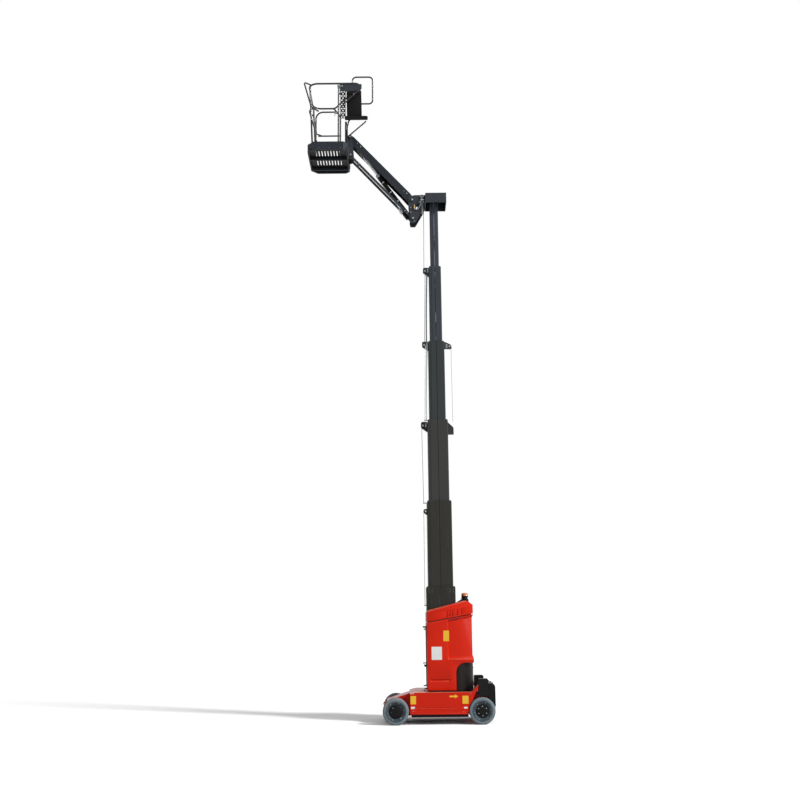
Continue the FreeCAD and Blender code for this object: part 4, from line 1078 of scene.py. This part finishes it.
def makeBasketDetail():
    shape = basketShape
    # slate sheet outside, painted shade turning it black underneath, scuffed standing surface
    sheet = shadeBlackened(paintedSteel("traySheet", *slate, rough=0.42, gloss=0.14),
                      lambda tree: ranged(tree, upness(tree), -0.35, -0.6), "060607")
    setPaint(nodes["basket_tray"], sheet)
    low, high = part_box("basket_tray")
    for sideName, side in sides.items():
        # rolled lip round the toe board, and screws through the tray's sides
        lip = rawPipe([(x, side * (high.y - 0.004), high.z - 0.004)
                       for x in (low.x + 0.10, (low.x + high.x) / 2, high.x - 0.16)], 0.004, smooth=False)
        settle(lip, "toeLip_" + sideName, "basket", sheet)
        fixings("trayScrews_" + sideName, "basket", capScrew(0.014),
                [(x, side * (high.y - 0.0035), low.z + 0.030) for x in (low.x + 0.12, low.x + 0.30, high.x - 0.20)],
                (0, side, 0), "bolt")
        # pins and bolts at the carrier
        pinHeads("carrierPins_%s_" % sideName, "basket", [(shape["carrierPin"][0], side * shape["carrierFace"],
                                                           shape["carrierPin"][1]),
                                                          at(shape["cylinderPin"][0], side * shape["carrierFace"],
                                                             shape["cylinderPin"][1])], 0.032, 0.024, side)
        fixings("carrierBolts_" + sideName, "basket", hexBolt(0.018),
                [at(1.4185, side * y, z) for y in (0.150, 0.255) for z in (9.135, 9.215)], (-1, 0, 0), "zinc")
    # collars where the posts meet the tray
    postX, postY, foot = shape["postX"], shape["railHalf"], shape["trayZ"] + 0.052
    farX, farY = shape["rearPosts"]
    fixings("postCollars", "basket", rawTurned([(0.024, 0), (0.024, 0.018), (0.020, 0.024), (0.0165, 0.026)], 24),
            [at(postX, postY, foot), at(farX, farY, foot), at(farX, -farY, foot)], (0, 0, 1), "black_paint")
    # a clamp with a nut at the top of the near post
    bottom, top = shape["postTop"]
    clamp = joined([axisBlock((postX - 0.020, postY - 0.020, bottom), (postX + 0.020, postY + 0.020, top), 0.005),
                    aim(hexBolt(0.014), at(postX, postY + 0.020, (bottom + top) / 2), (0, 1, 0))])
    settle(clamp, "postClamp", "basket", "bolt")
    # spring latch of the gate, with its knob
    knob = rawTurned([(0.006, 0), (0.006, 0.022), (0.011, 0.026), (0.011, 0.036), (0.006, 0.040)], 18)
    latch = joined([axisBlock((1.604, 0.398, 9.772), (1.648, 0.430, 9.786), 0.003),
                    aim(knob, at(1.640, 0.410, 9.770), (0, 0, -1))])
    settle(latch, "gateLatch", "basket_gate", "zinc")
    # nuts of the anchor plate
    fixings("anchorNuts", "basket", hexBolt(0.016), [at(1.4665, y, 9.315) for y in (-0.026, 0.026)], (1, 0, 0),
            "zinc")


makeStrip()
makeControl()
makeBasketDetail()
print("basket done")


# studio: a pale floor, an even sky and one soft sun, with a tall strip light
studio = {"sky": 0.44, "sun": 3.0, "sunSize": 9, "sunFrom": (-1.0, 0.50, 0.75), "floor": (1.14, 1.14, 1.14, 1),
          "bounce": 0.35, "floorHalf": 60, "stripSize": (0.9, 6.0), "stripPower": 110,
          "stripPlace": (-5.0, 5.0, 3.0), "stripAim": (0, 0, 1.5)}


def seenRays(tree):
    # 1 for rays that reach the surface from the camera, a reflection or a lens
    rays = addNode(tree, "ShaderNodeLightPath").outputs
    seen = mathOf(tree, "MAXIMUM", rays["Is Camera Ray"], rays["Is Glossy Ray"])
    return mathOf(tree, "MAXIMUM", seen, rays["Is Transmission Ray"])


def makeStudio():
    world = bpy.data.worlds.new("studioSky")
    bpy.context.scene.world = world
    world.use_nodes = True
    tree = world.node_tree
    tree.nodes.clear()
    strength = ranged(tree, seenRays(tree), 0, 1, studio["sky"], 1.0)
    backdrop = addNode(tree, "ShaderNodeBackground", {"Color": (1, 1, 1, 1), "Strength": strength})
    out = addNode(tree, "ShaderNodeOutputWorld", {"Surface": backdrop.outputs[0]})
    out.is_active_output = True
    deselect()
    bpy.ops.mesh.primitive_plane_add(size=2 * studio["floorHalf"], location=(0, 0, 0))
    floor = bpy.context.object
    floor.name = "studioFloor"
    material, tree, shader = startMaterial("paleFloor")
    dim = [studio["bounce"]] * 3 + [1]
    wire(tree, shader, mixed(tree, seenRays(tree), dim, studio["floor"]),
         {"Roughness": 1.0, "Specular IOR Level": 0.0})
    setPaint(floor, material)
    sun = linked("softSun", bpy.data.lights.new("softSun", "SUN"))
    sun.data.energy = studio["sun"]
    sun.data.angle = math.radians(studio["sunSize"])
    sun.rotation_euler = turnedTo(studio["sunFrom"])
    strip = linked("tallStrip", bpy.data.lights.new("tallStrip", "AREA"))
    strip.data.shape = "RECTANGLE"
    strip.data.size, strip.data.size_y = studio["stripSize"]
    strip.data.energy = studio["stripPower"]
    strip.location = studio["stripPlace"]
    strip.rotation_euler = turnedTo(Vector(studio["stripPlace"]) - Vector(studio["stripAim"]))


cameraPlace = {"place": (-0.1075, 15.0, 1.58), "pitch": 12.6, "roll": -0.55, "lens": 43.0}


def makeCamera():
    camera = linked("camera", bpy.data.cameras.new("camera"))
    camera.data.lens = cameraPlace["lens"]
    camera.location = cameraPlace["place"]
    turn = Matrix.Rotation(math.pi, 4, "Z") @ Matrix.Rotation(math.radians(90 + cameraPlace["pitch"]), 4, "X")
    turn = turn @ Matrix.Rotation(math.radians(cameraPlace["roll"]), 4, "Z")
    camera.rotation_euler = turn.to_euler()
    bpy.context.scene.camera = camera


makeStudio()
makeCamera()
bpy.context.scene.view_settings.view_transform = "Standard"
print("studio and camera ready")
